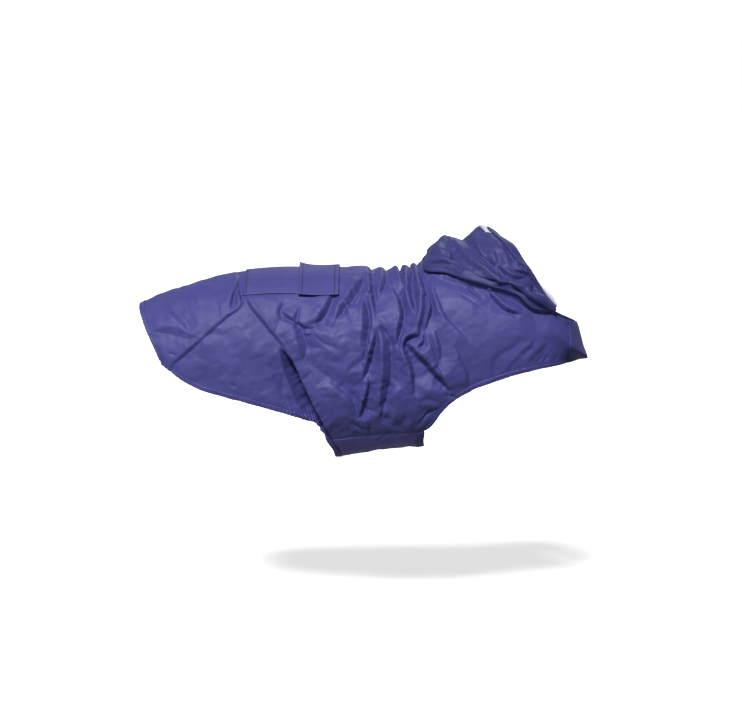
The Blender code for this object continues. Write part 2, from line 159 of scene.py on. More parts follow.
def side_place(points):
    """Side-view coordinates of points; the left side is mirrored and slightly varied."""
    flat = points.reshape(-1, 3)
    seen = np.where(flat[:, 1:2] > 0, flat * MIRROR, flat)
    offset = seen - (VIEW_CENTRE - VIEW_AHEAD * VIEW_DISTANCE)
    depth = offset @ VIEW_AHEAD
    place = np.stack([offset[:, 0], offset @ VIEW_UP], axis=1) / depth[:, None] * VIEW_DISTANCE
    ahead, above = (place + SIDE_ORIGIN).T
    far = ease(flat[:, 1] / FAR_FADE)
    return np.stack([
        ahead + far * (FAR_SWAY * np.sin(above / FAR_SWAY_LENGTH) + FAR_AHEAD),
        above + far * (FAR_HIGHER * above + FAR_HEAVE * np.sin(ahead / FAR_HEAVE_LENGTH)),
    ], axis=1)


# ---------------------------------------------------------------- the coat's surface

WALL = 0.7  # of the shown cloth
HEM = 8.0
SQUARENESS = 0.15
CHEST_MIDDLE = 179.4
RING_COLUMNS = (
    "top_x", "top_z", "hem_x", "hem_z", "half_width", "hem_angle", "hang", "side_x", "side_z",
)
RINGS = (
    (-454, -66, -408, -152, 88, 90, 0.0, -3, -3),
    (-416, -49, -379, -179, 97, 98, 0.3, 0, 0),
    (-376, -36, -346, -195, 103, 105, 0.5, 0, 0),
    (-328, -22, -302, -207, 108, 113, 0.5, 0, 0),
    (-280, -14, -258, -219, 110, 118, 0.5, 0, 0),
    (-232, -11, -214, -232, 110, 123, 0.4, 0, 0),
    (-192, -11, -178, -248, 112, 129, 0.2, 0, 0),
    (-160, -10, -148, -270, 116, 137, 0.0, -14, 0),
    (-112, -8, -104, -267, 120, 138, 0.0, 0, 0),
    (-72, -12, -56, -263, 123, 139, 0.0, 0, 0),
    (-37, -12, -2, -258, 125, 139.5, 0.0, 0, 0),
    (-10, -3, 26, -224, 126, 127, 0.0, 0, 0),
    (11, 2, 51, -202, 125, 120, 0.0, 0, 0),
    (29, 4, 99, -181, 122, 117, 0.0, 0, 0),
    (43, 6, 150, -166, 117, 118, 0.0, 0, 0),
    (56, 7, 203, -157, 110, 136, 0.0, 0, 0),
    (67, 8, 258, -152, 101, CHEST_MIDDLE, 0.0, 0, -3),
    (78, 8, 240, -95, 95, CHEST_MIDDLE, 0.0, 0, -11),
)
RING_KNOTS = dict(zip(RING_COLUMNS, zip(*RINGS)))
BAND_REAR = 7
BAND_FRONT = 10
FRONT_CORNER = 16
NECK = 17
TAIL_HEM = 0.2
CORNER_FROM = 95.0  # angles between which the chest gains its sharp lower corner
CORNER_FULL = 150.0
NORMAL_STEP = 0.01  # in rings and in radians

# Stations of the fine mesh: first ring, last ring, cells.
STATION_RUNS = (
    (0.0, TAIL_HEM, 4), (TAIL_HEM, 3, 50), (3, BAND_REAR, 104), (BAND_REAR, BAND_FRONT, 84),
    (BAND_FRONT, 12, 34), (12, 14, 38), (14, FRONT_CORNER, 50), (FRONT_CORNER, NECK, 18),
)
RIGHT_CELLS = 168
LEFT_CELLS = 84
HEM_CELLS = 4
SECTION_POINTS = 40
STATION_POINTS = 400

POCKET_REAR = -285.0
POCKET_FRONT = -139.0
POCKET_ANGLE = 41.0
FLAP_REAR = -200.0
FLAP_FRONT = -136.0
FLAP_ANGLE = 43.0
# How far inside the pocket's rear edge and the flap's front and side edges the coat's folds have
# faded out, and the width of the fade, in millimetres and in degrees.
CALM_REAR = 4.0
CALM_FRONT = 3.0
CALM_FADE = 7.0
CALM_SIDE = 2.5
CALM_SIDE_FADE = 3.0


def ring_value(column, station):
    found = hermite(range(len(RINGS)), RING_KNOTS[column], station)
    return np.minimum(found, CHEST_MIDDLE) if column == "hem_angle" else found


def ring_corner(column, station):
    """The same values with a sharp turn at the ring of the chest's lower corner."""
    knots = RING_KNOTS[column]
    before = hermite(range(FRONT_CORNER + 1), knots[: FRONT_CORNER + 1], station)
    after = np.interp(station, (FRONT_CORNER, NECK), knots[FRONT_CORNER:])
    return np.where(station > FRONT_CORNER, after, before)


def base_point(station, angle):
    """Smooth coat surface. angle is in radians from the top, negative on the right side."""
    station, angle = np.broadcast_arrays(np.asarray(station, float), np.asarray(angle, float))
    ring = {name: ring_value(name, station) for name in RING_COLUMNS}
    low = ease((np.abs(np.degrees(angle)) - CORNER_FROM) / (CORNER_FULL - CORNER_FROM))
    for name in ("hem_x", "hem_z"):
        ring[name] = ring[name] + low * (ring_corner(name, station) - ring[name])
    hem_fall = (1 - np.cos(np.radians(ring["hem_angle"]))) / 2
    fall = (1 - np.cos(angle)) / 2
    side = np.sin(angle) ** 2
    spread = np.sin(angle) * (1 + SQUARENESS * np.cos(angle) ** 2)
    below = np.where(np.abs(angle) > math.pi / 2, ring["hang"], 0.0)
    spread = spread + np.sign(angle) * below * (1 - np.abs(np.sin(angle)))
    return np.stack([
        ring["top_x"] + (ring["hem_x"] - ring["top_x"]) * fall / hem_fall + ring["side_x"] * side,
        ring["half_width"] * spread,
        ring["top_z"] + (ring["hem_z"] - ring["top_z"]) * fall / hem_fall + ring["side_z"] * side,
    ], axis=-1)


def outward(station, angle):
    """Unit normals of the smooth coat surface."""
    low = np.clip(station - NORMAL_STEP, 0, NECK)
    high = np.clip(station + NORMAL_STEP, 0, NECK)
    along = base_point(high, angle) - base_point(low, angle)
    across = base_point(station, angle + NORMAL_STEP) - base_point(station, angle - NORMAL_STEP)
    return unit(np.cross(along, across))


def lifted(station, angle, lift):
    """The smooth coat surface moved out by the lift."""
    return base_point(station, angle) + outward(station, angle) * lift[..., None]


def station_at(along, angle):
    """The station where the coat passes this X, in millimetres, at this angle."""
    every = np.linspace(0, NECK, STATION_POINTS)
    return np.interp(along, base_point(every, angle)[:, 0], every)


def fine_columns(station):
    """Angles across the coat at one station, from the right hem to the left."""
    hem = math.radians(float(ring_value("hem_angle", station)))
    section = base_point(station, np.linspace(0, 1, SECTION_POINTS) * hem)
    inner = 1 - HEM / travelled(section)[-1]
    turned = np.linspace(inner, 1, HEM_CELLS + 1)[1:]
    right, left = (
        np.concatenate([np.linspace(0, inner, cells - HEM_CELLS + 1), turned])
        for cells in (RIGHT_CELLS, LEFT_CELLS)
    )
    return hem * np.concatenate([-right[:0:-1], left])


# ---------------------------------------------------------------- folds

# Folds of the right side. Each is a steep facet between a high and a low edge, along a path: how
# far the cloth drops towards the left hand of one who walks the path, the facet's width, the
# share of both at the path's two ends, and the path. A minus drops towards the right hand. A
# last number is how far the whole fold lies below the cloth's level.
FOLDS = (
    # pulled down from the flap's corner, and the shoulder gathers beside them
    (6.5, 10, 0.2, 0.1, ((-100, -18), (-112, -36), (-124, -52), (-135, -66), (-144, -84))),
    (7, 12, 0.1, 0.15, ((-98, -48), (-96, -70), (-94, -90), (-98, -115), (-99, -146))),
    (6.5, 9, 0.15, 0.0, ((-88, 4), (-88, -6), (-87, -25), (-85, -45), (-82, -62), (-79, -76))),
    (5, 7, 0.15, 0.0, ((-65, 4), (-65, -6), (-66, -20), (-70, -33), (-75, -42))),
    (8, 7, 0.2, 0.1,
     ((-56, -28), (-47, -40), (-41, -52), (-37, -68), (-38, -84), (-43, -104), (-45, -125))),
    (8, 5.5, 0.3, 0.0, ((-46, 8), (-42, -3), (-39, -14), (-36, -24), (-33, -31))),
    (9, 7, 0.4, 0.1, ((-25, 12), (-25, -3), (-26, -26), (-24, -45), (-20, -60), (-14, -72))),
    (9, 5, 0.4, 0.1,
     ((-17, 12), (-14, 4), (-9, -12), (-4, -28), (4, -45), (9, -57), (7, -75), (2, -90), (-2, -100))),
    (8, 7, 0.1, 0.4, ((-10, -22), (-6, -34), (-2, -44), (-2, -58), (-4, -75), (-8, -92), (-9, -108))),
    # the hook below them, and what runs on from it
    (9, 6.5, 0.4, 0.2,
     ((-8, -110), (-18, -108), (-28, -111), (-34, -120), (-32, -134), (-27, -148), (-22, -162),
      (-20, -178), (-17, -198))),
    (5, 3.5, 0.3, 0.0, ((-4, -103), (-3, -117), (-10, -127))),
    (-10, 9, 0.15, 0.2, ((-27, -120), (-15, -134), (0, -149), (13, -164), (26, -178), (39, -196))),
    # between the gathers and the belly seam
    (8, 14, 0.1, 0.2,
     ((-73, -90), (-67, -106), (-62, -128), (-61, -150), (-62, -175), (-66, -205), (-71, -236))),
    (8, 9, 0.1, 0.1, ((-79, -104), (-83, -122), (-88, -140), (-92, -158), (-101, -179))),
    (6, 7, 0.2, 0.0, ((-90, -180), (-92, -195), (-97, -212), (-101, -225), (-105, -240))),
    (6, 9, 0.2, 0.0, ((-150, -186), (-136, -193), (-122, -203), (-114, -216), (-108, -231))),
    # below the pocket and the flap
    (6, 7, 0.8, 0.0, ((-150, -45), (-157, -62), (-166, -78), (-176, -89))),
    (-5, 4, 0.0, 0.2, ((-229, -70), (-212, -83), (-197, -93), (-182, -97))),
    (6, 14, 0.3, 0.3, ((-208, -84), (-203, -100), (-198, -118), (-193, -138))),
    (3, 6, 0.2, 0.2, ((-228, -57), (-234, -68), (-231, -84))),
    # pulled from the pocket's lower corner to the flank
    (-4, 3.5, 0.5, 0.2, ((-291, -34), (-285, -50), (-278, -63), (-260, -84), (-241, -109), (-229, -123))),
    # the deep fold at the flank
    (3, 18, 0.1, 0.3, ((-246, -140), (-241, -162), (-234, -184), (-226, -206), (-216, -226)), 1.5),
    (14, 17, 0.12, 0.75,
     ((-231, -130), (-222, -156), (-213, -180), (-203, -203), (-192, -224), (-180, -244), (-169, -262)), 9.5),
    (-16, 4, 0.1, 0.5,
     ((-227, -130), (-209, -154), (-199, -178), (-189, -201), (-179, -222), (-168, -242), (-158, -260)), 6),
    # the dart from the pocket's corner to the rear hem
    (2.6, 2.6, 0.6, 0.7, ((-288, -50), (-293, -60), (-310, -72), (-350, -107), (-403, -153))),
    # beside the pocket's rear seam, and mild dents of the rear panel
    (4, 3, 0.1, 0.1, ((-300, -10), (-300, -29), (-307, -43), (-312, -66))),
    (4.5, 4, 0.2, 0.3, ((-299, -32), (-296, -48), (-293, -57))),
    (-2.5, 12, 0.3, 0.1, ((-433, -100), (-407, -99), (-388, -106), (-366, -112))),
    (3, 10, 0.1, 0.2, ((-412, -66), (-396, -80), (-384, -92), (-379, -104))),
    # shoulder
    (3.2, 6, 0.1, 0.1, ((12, -28), (19, -48), (27, -70), (40, -87), (56, -103), (71, -118))),
    (-6, 5, 0.5, 0.0, ((101, -36), (112, -49), (124, -62), (140, -70), (155, -74))),
    (3.5, 5, 0.1, 0.1, ((3, -106), (10, -125), (17, -142), (22, -157))),
    (3.5, 6, 0.1, 0.1, ((16, -100), (22, -125), (25, -150))),
    (3.2, 6, 0.2, 0.3, ((48, -126), (56, -146), (66, -166), (68, -190))),
    # the shaded edge below the hood
    (6, 8, 0.2, 0.2,
     ((204, -70), (186, -69), (168, -60), (148, -49), (126, -39), (90, -28), (50, -19), (14, -11))),
    # up from the chest hem
    (1.1, 7, 0.0, 0.3, ((153, -119), (136, -127), (120, -136), (110, -146), (107, -160), (107, -178))),
    (1.1, 7, 0.1, 0.3, ((180, -110), (168, -124), (155, -137), (142, -150), (128, -166))),
    (1.4, 7, 0.1, 0.2, ((197, -120), (184, -130), (173, -141), (162, -155))),
)

# Crests and valleys between the folds: height, share of it at both ends, and the path.
CRESTS = (
    (-4, 0.2, 0.2, ((-80, 4), (-62, 3), (-42, 3), (-28, 5))),
    (3, 0.3, 0.3, ((-16, 8), (-8, 9), (0, 8))),
    (3, 0.3, 0.3,
     ((-92, -30), (-88, -55), (-83, -76), (-85, -95), (-90, -115), (-97, -135), (-102, -150))),
    (3, 0.4, 0.4, ((-192, -104), (-170, -104), (-150, -112), (-135, -126), (-125, -142))),
    (-5, 0.3, 0.4, ((-196, -146), (-180, -158), (-160, -172), (-140, -188), (-122, -206), (-110, -228))),
    (4, 0.4, 0.5,
     ((-196, -178), (-186, -192), (-172, -207), (-150, -225), (-125, -236), (-100, -243), (-76, -243))),
    (3, 0.5, 0.5,
     ((-64, -232), (-56, -208), (-45, -195), (-34, -192), (-20, -203), (-5, -208), (11, -195), (30, -200))),
    (2, 0.3, 0.8, ((-219, -136), (-207, -160), (-196, -184), (-184, -208), (-174, -228), (-163, -248))),
    (3, 0.3, 0.3, ((-132, -30), (-122, -70), (-118, -110), (-108, -150))),
    (2.5, 0.3, 0.3, ((140, -78), (150, -100), (146, -118))),
    (2, 0.3, 0.3, ((60, -50), (80, -80), (100, -112), (102, -140))),
    (1.5, 0.2, 0.2, ((-370, -70), (-356, -110), (-350, -150))),
    (-1.5, 0.2, 0.2, ((-330, -95), (-306, -130), (-286, -170))),
    (1.5, 0.2, 0.2, ((-300, -90), (-276, -125), (-256, -160))),
)

# Fine creases: height out of the cloth, reach to both sides, how crisp the crest is, the path.
CREASES = (
    (-2, 3.5, 0.7, ((-100, -42), (-111, -60))),
    (-2.5, 3, 0.8, ((-196, -92), (-182, -97), (-165, -92), (-150, -86))),
    (-2, 4, 0.6, ((-176, -108), (-160, -122), (-142, -128))),
    (-2.5, 3, 0.8, ((-217, -206), (-212, -220), (-208, -232))),
    (-2.5, 4, 0.6, ((-332, -56), (-331, -68), (-328, -82))),
    (-2, 5, 0.4, ((-382, -46), (-379, -66))),
    (-1.5, 4, 0.5, ((-410, -136), (-397, -141))),
    (-2, 5, 0.5, ((-312, -184), (-302, -192))),
    (-2, 3, 0.8, ((-95, -225), (-80, -232))),
    (-2, 3, 0.8, ((-50, -259), (-64, -268), (-80, -278))),
    (-2.5, 3.5, 0.8, ((0, -208), (12, -212), (26, -216))),
    (-3, 4, 0.8, ((-12, -252), (-2, -240), (8, -231), (24, -224))),
    (-1.8, 4, 0.5, ((-120, -248), (-104, -255), (-84, -258))),
    (-1.8, 3, 0.8, ((48, -37), (66, -46), (80, -56), (94, -65))),
    (-4.5, 6, 0.6, ((69, -27), (80, -38), (93, -48))),
    (-2.5, 4, 0.7, ((30, -202), (52, -207))),
    (-2, 3, 0.7, ((181, -151), (187, -142))),
    (-2, 3, 0.7, ((190, -152), (197, -139))),
    (-2, 3, 0.7, ((206, -150), (211, -137))),
    (1.6, 2.2, 0.5, ((-287, -40), (-276, -58), (-256, -83), (-237, -108), (-221, -127), (-205, -150))),
)

# The hood's upper layer, in the same columns.
HOOD_FOLDS = (
    (-5.5, 6, 0.3, 0.3, ((44, 49), (50, 37), (60, 25), (73, 12), (88, 1), (104, -10), (119, -19))),
    (-10, 13, 0.3, 0.3, ((37, 48), (43, 35), (53, 21), (66, 8), (82, -4), (100, -15), (118, -24)), 1),
    (3, 6, 0.3, 0.3, ((60, 44), (70, 32), (84, 18), (100, 4), (116, -10))),
    (3.5, 8, 0.3, 0.1, ((84, 52), (90, 36), (98, 18))),
    (-4.5, 4.5, 0.2, 0.2, ((115, 6), (125, -5), (138, -14), (150, -17), (160, -13))),
    (-5, 4, 0.2, 0.3, ((144, -4), (157, -7), (167, -12), (174, -21), (180, -34))),
    (4.5, 4, 0.2, 0.2, ((167, -14), (170, -26), (169, -42))),
    (3, 5, 0.2, 0.1, ((112, 28), (114, 16), (117, 4))),
    (3, 5, 0.3, 0.1, ((121, 44), (127, 32), (134, 20), (138, 7))),
    (2.5, 5, 0.2, 0.2, ((140, 32), (146, 18), (153, 4))),
    (-3, 9, 0.2, 0.1, ((8, 22), (26, 26), (42, 22))),
    (-2.5, 7, 0.2, 0.1, ((6, 8), (26, 11), (44, 8), (58, -2))),
    (-8, 9, 0.3, 0.6, ((138, -24), (156, -38), (174, -52), (194, -64))),
)
HOOD_CRESTS = (
    (5, 0.3, 0.1, ((30, 50), (34, 55), (37, 52))),
    (-2.4, 0.4, 0.4, ((0, 24), (7, 33), (14, 40), (21, 44))),
    (-3.5, 0.3, 0.3, ((30, 32), (37, 19), (48, 6), (62, -6), (80, -16), (98, -23))),
    (2.5, 0.3, 0.3, ((10, -2), (30, -5), (55, -13), (80, -20), (104, -27))),
    (3, 0.3, 0.3, ((62, 38), (76, 24), (96, 8), (114, -4))),
    (2.5, 0.3, 0.3, ((124, 24), (130, 10), (137, -3))),
)
HOOD_CREASES = (
    (-1.5, 2.5, 0.8, ((58, 28), (82, 12), (98, 0))),
    (-1.2, 3, 0.6, ((15, 30), (30, 33))),
    (-1.6, 3.5, 0.6, ((12, 0), (30, -1), (48, -7))),
    (1.4, 2.5, 0.5, ((20, -6), (40, -11), (60, -16), (80, -20), (100, -26), (115, -29))),
    (-2, 3, 0.6, ((104, 44), (110, 34))),
)

FOLD_DEPTH = 1.85
FOLD_BLUR = 0.8
FOLD_NARROWEST = 0.35  # share of a facet's width that its ends keep
# How unevenly a fold's edges run: this far, but at most its width over the second number.
EDGE_SHAKE = 0.9
EDGE_SHAKE_PART = 6
HEIGHT_SHAKE = (0.88, 1.12)
ENDS_FADE = 0.3  # share of a path over which its ends fade
FOLD_PARTS = 2
CREST_PARTS = 8
CREASE_PARTS = 5
LINE_STEP = 4.0
CREASE_CREST = 1.6
CREASE_BLUNTNESS = 0.7
# Between the folds the cloth slopes to its own level at anchors this far apart, and seeded
# facets of crisp nylon lie over it: spacing, height and blur.
ANCHORS = 22.0
CRUSH = ((14.0, 1.5, 0.7), (7.5, 0.5, 0.6))
CRUSH_SEED = 11
CRUSH_JITTER = 0.42
CRUSH_CLEAR = 0.8  # of their spacing, kept free of anchors around the folds' edges
# Where the cloth is most crumpled: centre, reach and how much; calmer elsewhere.
CALM_SHARE = 0.34
CRUMPLED = (
    (-105, -100, 50, 0.6), (-60, -130, 45, 0.6), (-70, -215, 55, 0.7), (-150, -180, 45, 0.5),
    (-10, -190, 45, 0.5), (-20, -60, 40, 0.4), (-200, -110, 35, 0.3), (-385, -75, 45, 0.25),
    (140, 10, 45, 0.4),
)
# The maps' reach in the side view, and how far outside it their outermost corners lie.
MAP_LOW = np.array([-490.0, -345.0])
MAP_HIGH = np.array([300.0, 120.0])
MAP_RIM = 30.0
MAP_MARGIN = 1.001  # cells that a place read in a map stays inside its far edges
SAME_PLACE = 1e-4  # distance below which two corners are one
FLAT_SLIVER = 1e-9  # area below which a facet is left out
BLUR_TAPS = np.arange(-4, 5)
TOLERANCE = 1e-6


def crease_height(points, creases):
    """How far the fine creases lift the cloth at these points."""
    place = side_place(points)
    total = np.zeros(len(place))
    for height, reach, crisp, path in creases:
        path = smooth_path(path, CREASE_PARTS)
        within = (place > path.min(axis=0) - reach) & (place < path.max(axis=0) + reach)
        near = np.flatnonzero(within.all(axis=1))
        starts = travelled(path)
        best = np.full(len(near), np.inf)
        share = np.zeros(len(near))
        for start, corner, run in zip(starts, path, np.diff(path, axis=0)):
            length = np.linalg.norm(run)
            offset = place[near] - corner
            part = np.clip(offset @ run / length**2, 0, 1)
            distance = np.linalg.norm(offset - part[:, None] * run, axis=1)
            nearer = distance < best
            best = np.where(nearer, distance, best)
            share = np.where(nearer, (start + part * length) / starts[-1], share)
        left = np.clip(1 - best / reach, 0, 1)
        profile = ease(left) + (left**CREASE_CREST - ease(left)) * crisp
        total[near] += height * profile * np.abs(np.sin(math.pi * share)) ** CREASE_BLUNTNESS
    return total.reshape(points.shape[:-1])


def path_points(path, parts, head, tail):
    """Evenly spaced points along a path, and their size: 1, and the head and tail at its ends."""
    path = smooth_path(path, parts)
    lengths = travelled(path)
    along = np.linspace(0, lengths[-1], max(3, int(lengths[-1] / LINE_STEP) + 1))
    share = along / lengths[-1]
    inside = np.sin(np.clip(np.minimum(share, 1 - share) / ENDS_FADE, 0, 1) * math.pi / 2)
    floor = np.where(share < 0.5, head, tail)
    return sampled(path, lengths, along), floor + (1 - floor) * inside


def line_points(folds, crests, rng):
    """Places and heights along the edges of the folds and along the crests."""
    places, heights = [], []
    for drop, width, head, tail, path, *sunk in folds:
        spot, size = path_points(path, FOLD_PARTS, head, tail)
        ahead = unit(np.gradient(spot, axis=0))
        aside = np.stack([-ahead[:, 1], ahead[:, 0]], axis=1) * math.copysign(1, drop)
        half = width / 2 * np.maximum(size, FOLD_NARROWEST)
        for side in (-1, 1):
            shake = rng.uniform(-1, 1, len(spot)) * min(EDGE_SHAKE, width / EDGE_SHAKE_PART)
            places.extend(spot + aside * (side * half + shake)[:, None])
            level = -side * abs(drop) / 2 - sum(sunk)
            heights.extend(FOLD_DEPTH * level * size * rng.uniform(*HEIGHT_SHAKE, len(spot)))
    for height, head, tail, path in crests:
        spot, size = path_points(path, CREST_PARTS, head, tail)
        places.extend(spot)
        heights.extend(height * size)
    return np.array(places), np.array(heights)


def filling(spacing, height, rng, taken=()):
    """A jittered grid of places with small random heights, clear of the taken places."""
    ranges = [np.arange(low, high + spacing, spacing) for low, high in zip(MAP_LOW, MAP_HIGH)]
    grid = np.stack(np.meshgrid(*ranges), axis=-1).reshape(-1, 2)
    grid = grid + rng.uniform(-CRUSH_JITTER, CRUSH_JITTER, grid.shape) * spacing
    crumpled = CALM_SHARE + sum(
        more * bell(np.linalg.norm(grid - (along, above), axis=1), reach)
        for along, above, reach, more in CRUMPLED
    )
    heights = rng.normal(0, height, len(grid)) * np.minimum(crumpled, 1)
    if len(taken):
        tree = tree_of(taken)
        clear = np.array([tree.find((*place, 0.0))[2] > CRUSH_CLEAR * spacing for place in grid])
        grid, heights = grid[clear], heights[clear]
    return grid, heights


def facet_map(places, heights, blur):
    """Heights on a grid of one millimetre: flat facets between the places, slightly rounded."""
    size = (MAP_HIGH - MAP_LOW).astype(int) + 1
    rim = np.array([(x, y) for x in (MAP_LOW[0] - MAP_RIM, MAP_HIGH[0] + MAP_RIM)
                    for y in (MAP_LOW[1] - MAP_RIM, MAP_HIGH[1] + MAP_RIM)])
    places = [Vector(place) for place in np.concatenate([places, rim])]
    heights = np.concatenate([heights, np.zeros(len(rim))])
    corners, _, triangles, sources, _, _ = delaunay_2d_cdt(places, [], [], 0, SAME_PLACE)
    corners = np.array([tuple(corner) for corner in corners]) - MAP_LOW
    value = np.array([heights[source[0]] for source in sources])
    grid = np.zeros(size)
    for triangle in triangles:
        first, second, third = corners[list(triangle)]
        low = np.maximum(np.floor(np.minimum(np.minimum(first, second), third)), 0).astype(int)
        high = np.minimum(np.ceil(np.maximum(np.maximum(first, second), third)), size - 1).astype(int)
        edge, other = second - first, third - first
        area = edge[0] * other[1] - edge[1] * other[0]
        if (high < low).any() or abs(area) < FLAT_SLIVER:
            continue
        x, y = np.meshgrid(np.arange(low[0], high[0] + 1), np.arange(low[1], high[1] + 1), indexing="ij")
        part = ((x - first[0]) * other[1] - (y - first[1]) * other[0]) / area
        more = (edge[0] * (y - first[1]) - edge[1] * (x - first[0])) / area
        inside = (part >= -TOLERANCE) & (more >= -TOLERANCE) & (part + more <= 1 + TOLERANCE)
        a, b, c = value[list(triangle)]
        block = grid[low[0]:high[0] + 1, low[1]:high[1] + 1]
        block[inside] = (a + part * (b - a) + more * (c - a))[inside]
    weights = np.exp(-((BLUR_TAPS / blur) ** 2) / 2)
    weights /= weights.sum()
    for axis in (0, 1):
        grid = sum(weight * np.roll(grid, tap, axis=axis) for tap, weight in zip(BLUR_TAPS, weights))
    return grid


def fold_map(folds, crests, seed):
    """The height map of a set of folds with its seeded facets."""
    rng = np.random.default_rng(seed)
    edges, heights = line_points(folds, crests, rng)
    anchors, level = filling(ANCHORS, 0.0, rng, edges)
    total = facet_map(np.concatenate([edges, anchors]), np.concatenate([heights, level]), FOLD_BLUR)
    for spacing, crush, blur in CRUSH:
        total += facet_map(*filling(spacing, crush, rng), blur)
    return total


def map_height(heights, points):
    """The map's height at these points, read in the side view."""
    spot = np.clip(side_place(points) - MAP_LOW, 0, np.array(heights.shape) - MAP_MARGIN)
    cell = spot.astype(int)
    part = spot - cell
    total = sum(
        heights[cell[:, 0] + right, cell[:, 1] + up]
        * (part[:, 0] if right else 1 - part[:, 0]) * (part[:, 1] if up else 1 - part[:, 1])
        for right in (0, 1) for up in (0, 1)
    )
    return total.reshape(points.shape[:-1])


coat_map = fold_map(FOLDS, CRESTS, CRUSH_SEED)
hood_map = fold_map(HOOD_FOLDS, HOOD_CRESTS, CRUSH_SEED + 1)


def coat_point(station, angle, lift=0.0):
    """The folded coat, moved out by the lift. Under the pocket and the flap it lies flat."""
    points = base_point(station, angle)
    ahead = points[..., 0]
    past = np.maximum(POCKET_REAR + CALM_REAR - ahead, ahead - FLAP_FRONT + CALM_FRONT) / CALM_FADE
    aside = (np.abs(np.degrees(angle)) - FLAP_ANGLE + CALM_SIDE) / CALM_SIDE_FADE
    folds = map_height(coat_map, points) + crease_height(points, CREASES)
    return lifted(station, angle, folds * ease(np.maximum(past, aside)) + lift)


# Uneven waves: how far they drift, over which lengths, and how their height swells.
DRIFTS = ((0.9, 31.0), (0.6, 13.0))
SWELL = 0.35
SWELL_LENGTH = 23.0
# Puckers along seams and edges: height, reach, spacing and seed.
PUCKERS = {
    "right hem": (0.2, 11.0, 7.5, 1), "left hem": (0.2, 11.0, 7.5, 2), "tail hem": (0.2, 11.0, 7.5, 5),
    "right gathers": (1.6, 17.0, 6.0, 11), "left gathers": (1.6, 17.0, 6.0, 12),
    "belly ends": (0.35, 14.0, 8.0, 21), "belly seams": (0.5, 9.0, 8.5, 22),
    "casing seam": (0.4, 16.0, 9.0, 41), "pocket": (0.35, 7.0, 8.0, 51), "flap": (0.2, 6.0, 7.0, 52),
}


def wobble(along, step, seed):
    """Uneven waves between -1 and 1 along a length in millimetres."""
    shift = np.random.default_rng(seed).uniform(0, 2 * math.pi, 3)
    drift = sum(far * np.sin(along / length + start) for (far, length), start in zip(DRIFTS, shift))
    swell = 1 - SWELL + SWELL * np.sin(along / SWELL_LENGTH + shift[2])
    return np.sin(2 * math.pi * along / step + drift) * swell


def puckers(name, away, along):
    """Height of the named puckers at this distance from their edge and place along it."""
    height, reach, step, seed = PUCKERS[name]
    return height * bell(away, reach) * wobble(along, step, seed)


# ---------------------------------------------------------------- mesh helpers


def new_object(name, data):
    made = bpy.data.objects.new(name, data)
    bpy.context.scene.collection.objects.link(made)
    return made


def grid_lengths(points):
    """Distances along both directions of a grid, in metres, for the weave."""
    lengths = np.zeros((*points.shape[:2], 2))
    lengths[1:, :, 0] = np.cumsum(np.linalg.norm(np.diff(points, axis=0), axis=-1).mean(axis=1))[:, None]
    lengths[:, 1:, 1] = np.cumsum(np.linalg.norm(np.diff(points, axis=1), axis=-1).mean(axis=0))
    return lengths * MM


def sheet_object(name, points, wall, finish, keep=None, **settings):
    """A grid of points in millimetres made into cloth, with the weave's coordinates."""
    rows, columns = points.shape[:2]
    corner = np.arange(rows - 1)[:, None] * columns + np.arange(columns - 1)
    corner = corner.reshape(-1) if keep is None else corner[keep]
    faces = np.stack([corner, corner + columns, corner + columns + 1, corner + 1], axis=1)
    used, faces = np.unique(faces, return_inverse=True)
    faces = faces.reshape(-1, 4)
    places = grid_lengths(points).reshape(-1, 2)[used]
    mesh = bpy.data.meshes.new(name)
    mesh.from_pydata((points.reshape(-1, 3)[used] * MM).tolist(), [], faces.tolist())
    layer = mesh.uv_layers.new(name="weave")
    layer.data.foreach_set("uv", places[faces.reshape(-1)].astype(np.float32).reshape(-1))
    mesh.materials.append(finish)
    mesh.shade_smooth()
    made = new_object(name, mesh)
    solid = made.modifiers.new("Wall", "SOLIDIFY")
    solid.thickness = wall * MM
    solid.offset = 1.0
    for setting, value in settings.items():
        setattr(solid, setting, value)
    return made


# ---------------------------------------------------------------- materials

NYLON_LOW = (0.040, 0.041, 0.180)
NYLON_HIGH = (0.049, 0.050, 0.212)
# The belly panel's nylon is the coat's nylon painted lighter: painted light that lifts the shade where the
# panel faces down.
BELLY_PAINTED_LIGHT_LOW = (0.088, 0.078, 0.320)
BELLY_PAINTED_LIGHT_HIGH = (0.104, 0.092, 0.365)
# The hood's nylon, on the hood and its casing, is the coat's nylon painted darker: painted shade.
HOOD_PAINTED_SHADE_LOW = (0.024, 0.026, 0.122)
HOOD_PAINTED_SHADE_HIGH = (0.033, 0.035, 0.156)
HEM_LOW = (0.040, 0.040, 0.180)
HEM_HIGH = (0.056, 0.056, 0.230)
SHEEN = (0.6, 0.6, 0.95, 1.0)
ROUGHNESS = (0.50, 0.64)
WEAVE = 620.0
THREAD = (0.030, 0.028, 0.125)
# painted shade in the grooves of the thread's twist
THREAD_GROOVE_SHADE = tuple(0.7 * part for part in THREAD)
MESH_LOW = (0.22, 0.20, 0.32)
MESH_HIGH = (0.66, 0.63, 0.76)
TAPE_LOW = (0.36, 0.38, 0.41)
TAPE_HIGH = (0.50, 0.52, 0.55)
# Seam lines: the thread's colour together with painted shade of the groove along the stitching, darker than
# the thread.
SEAM_THREAD_AND_SHADE = (0.016, 0.014, 0.075)
SEAM_HALF = 0.55
DASH = 3.9
DASH_TURN = (-0.9, -0.2)  # of a wave along the seam, between its gaps and its stitches
# share of the painted groove shade that is left in the gaps between stitches
GAP_SHADE = 0.35


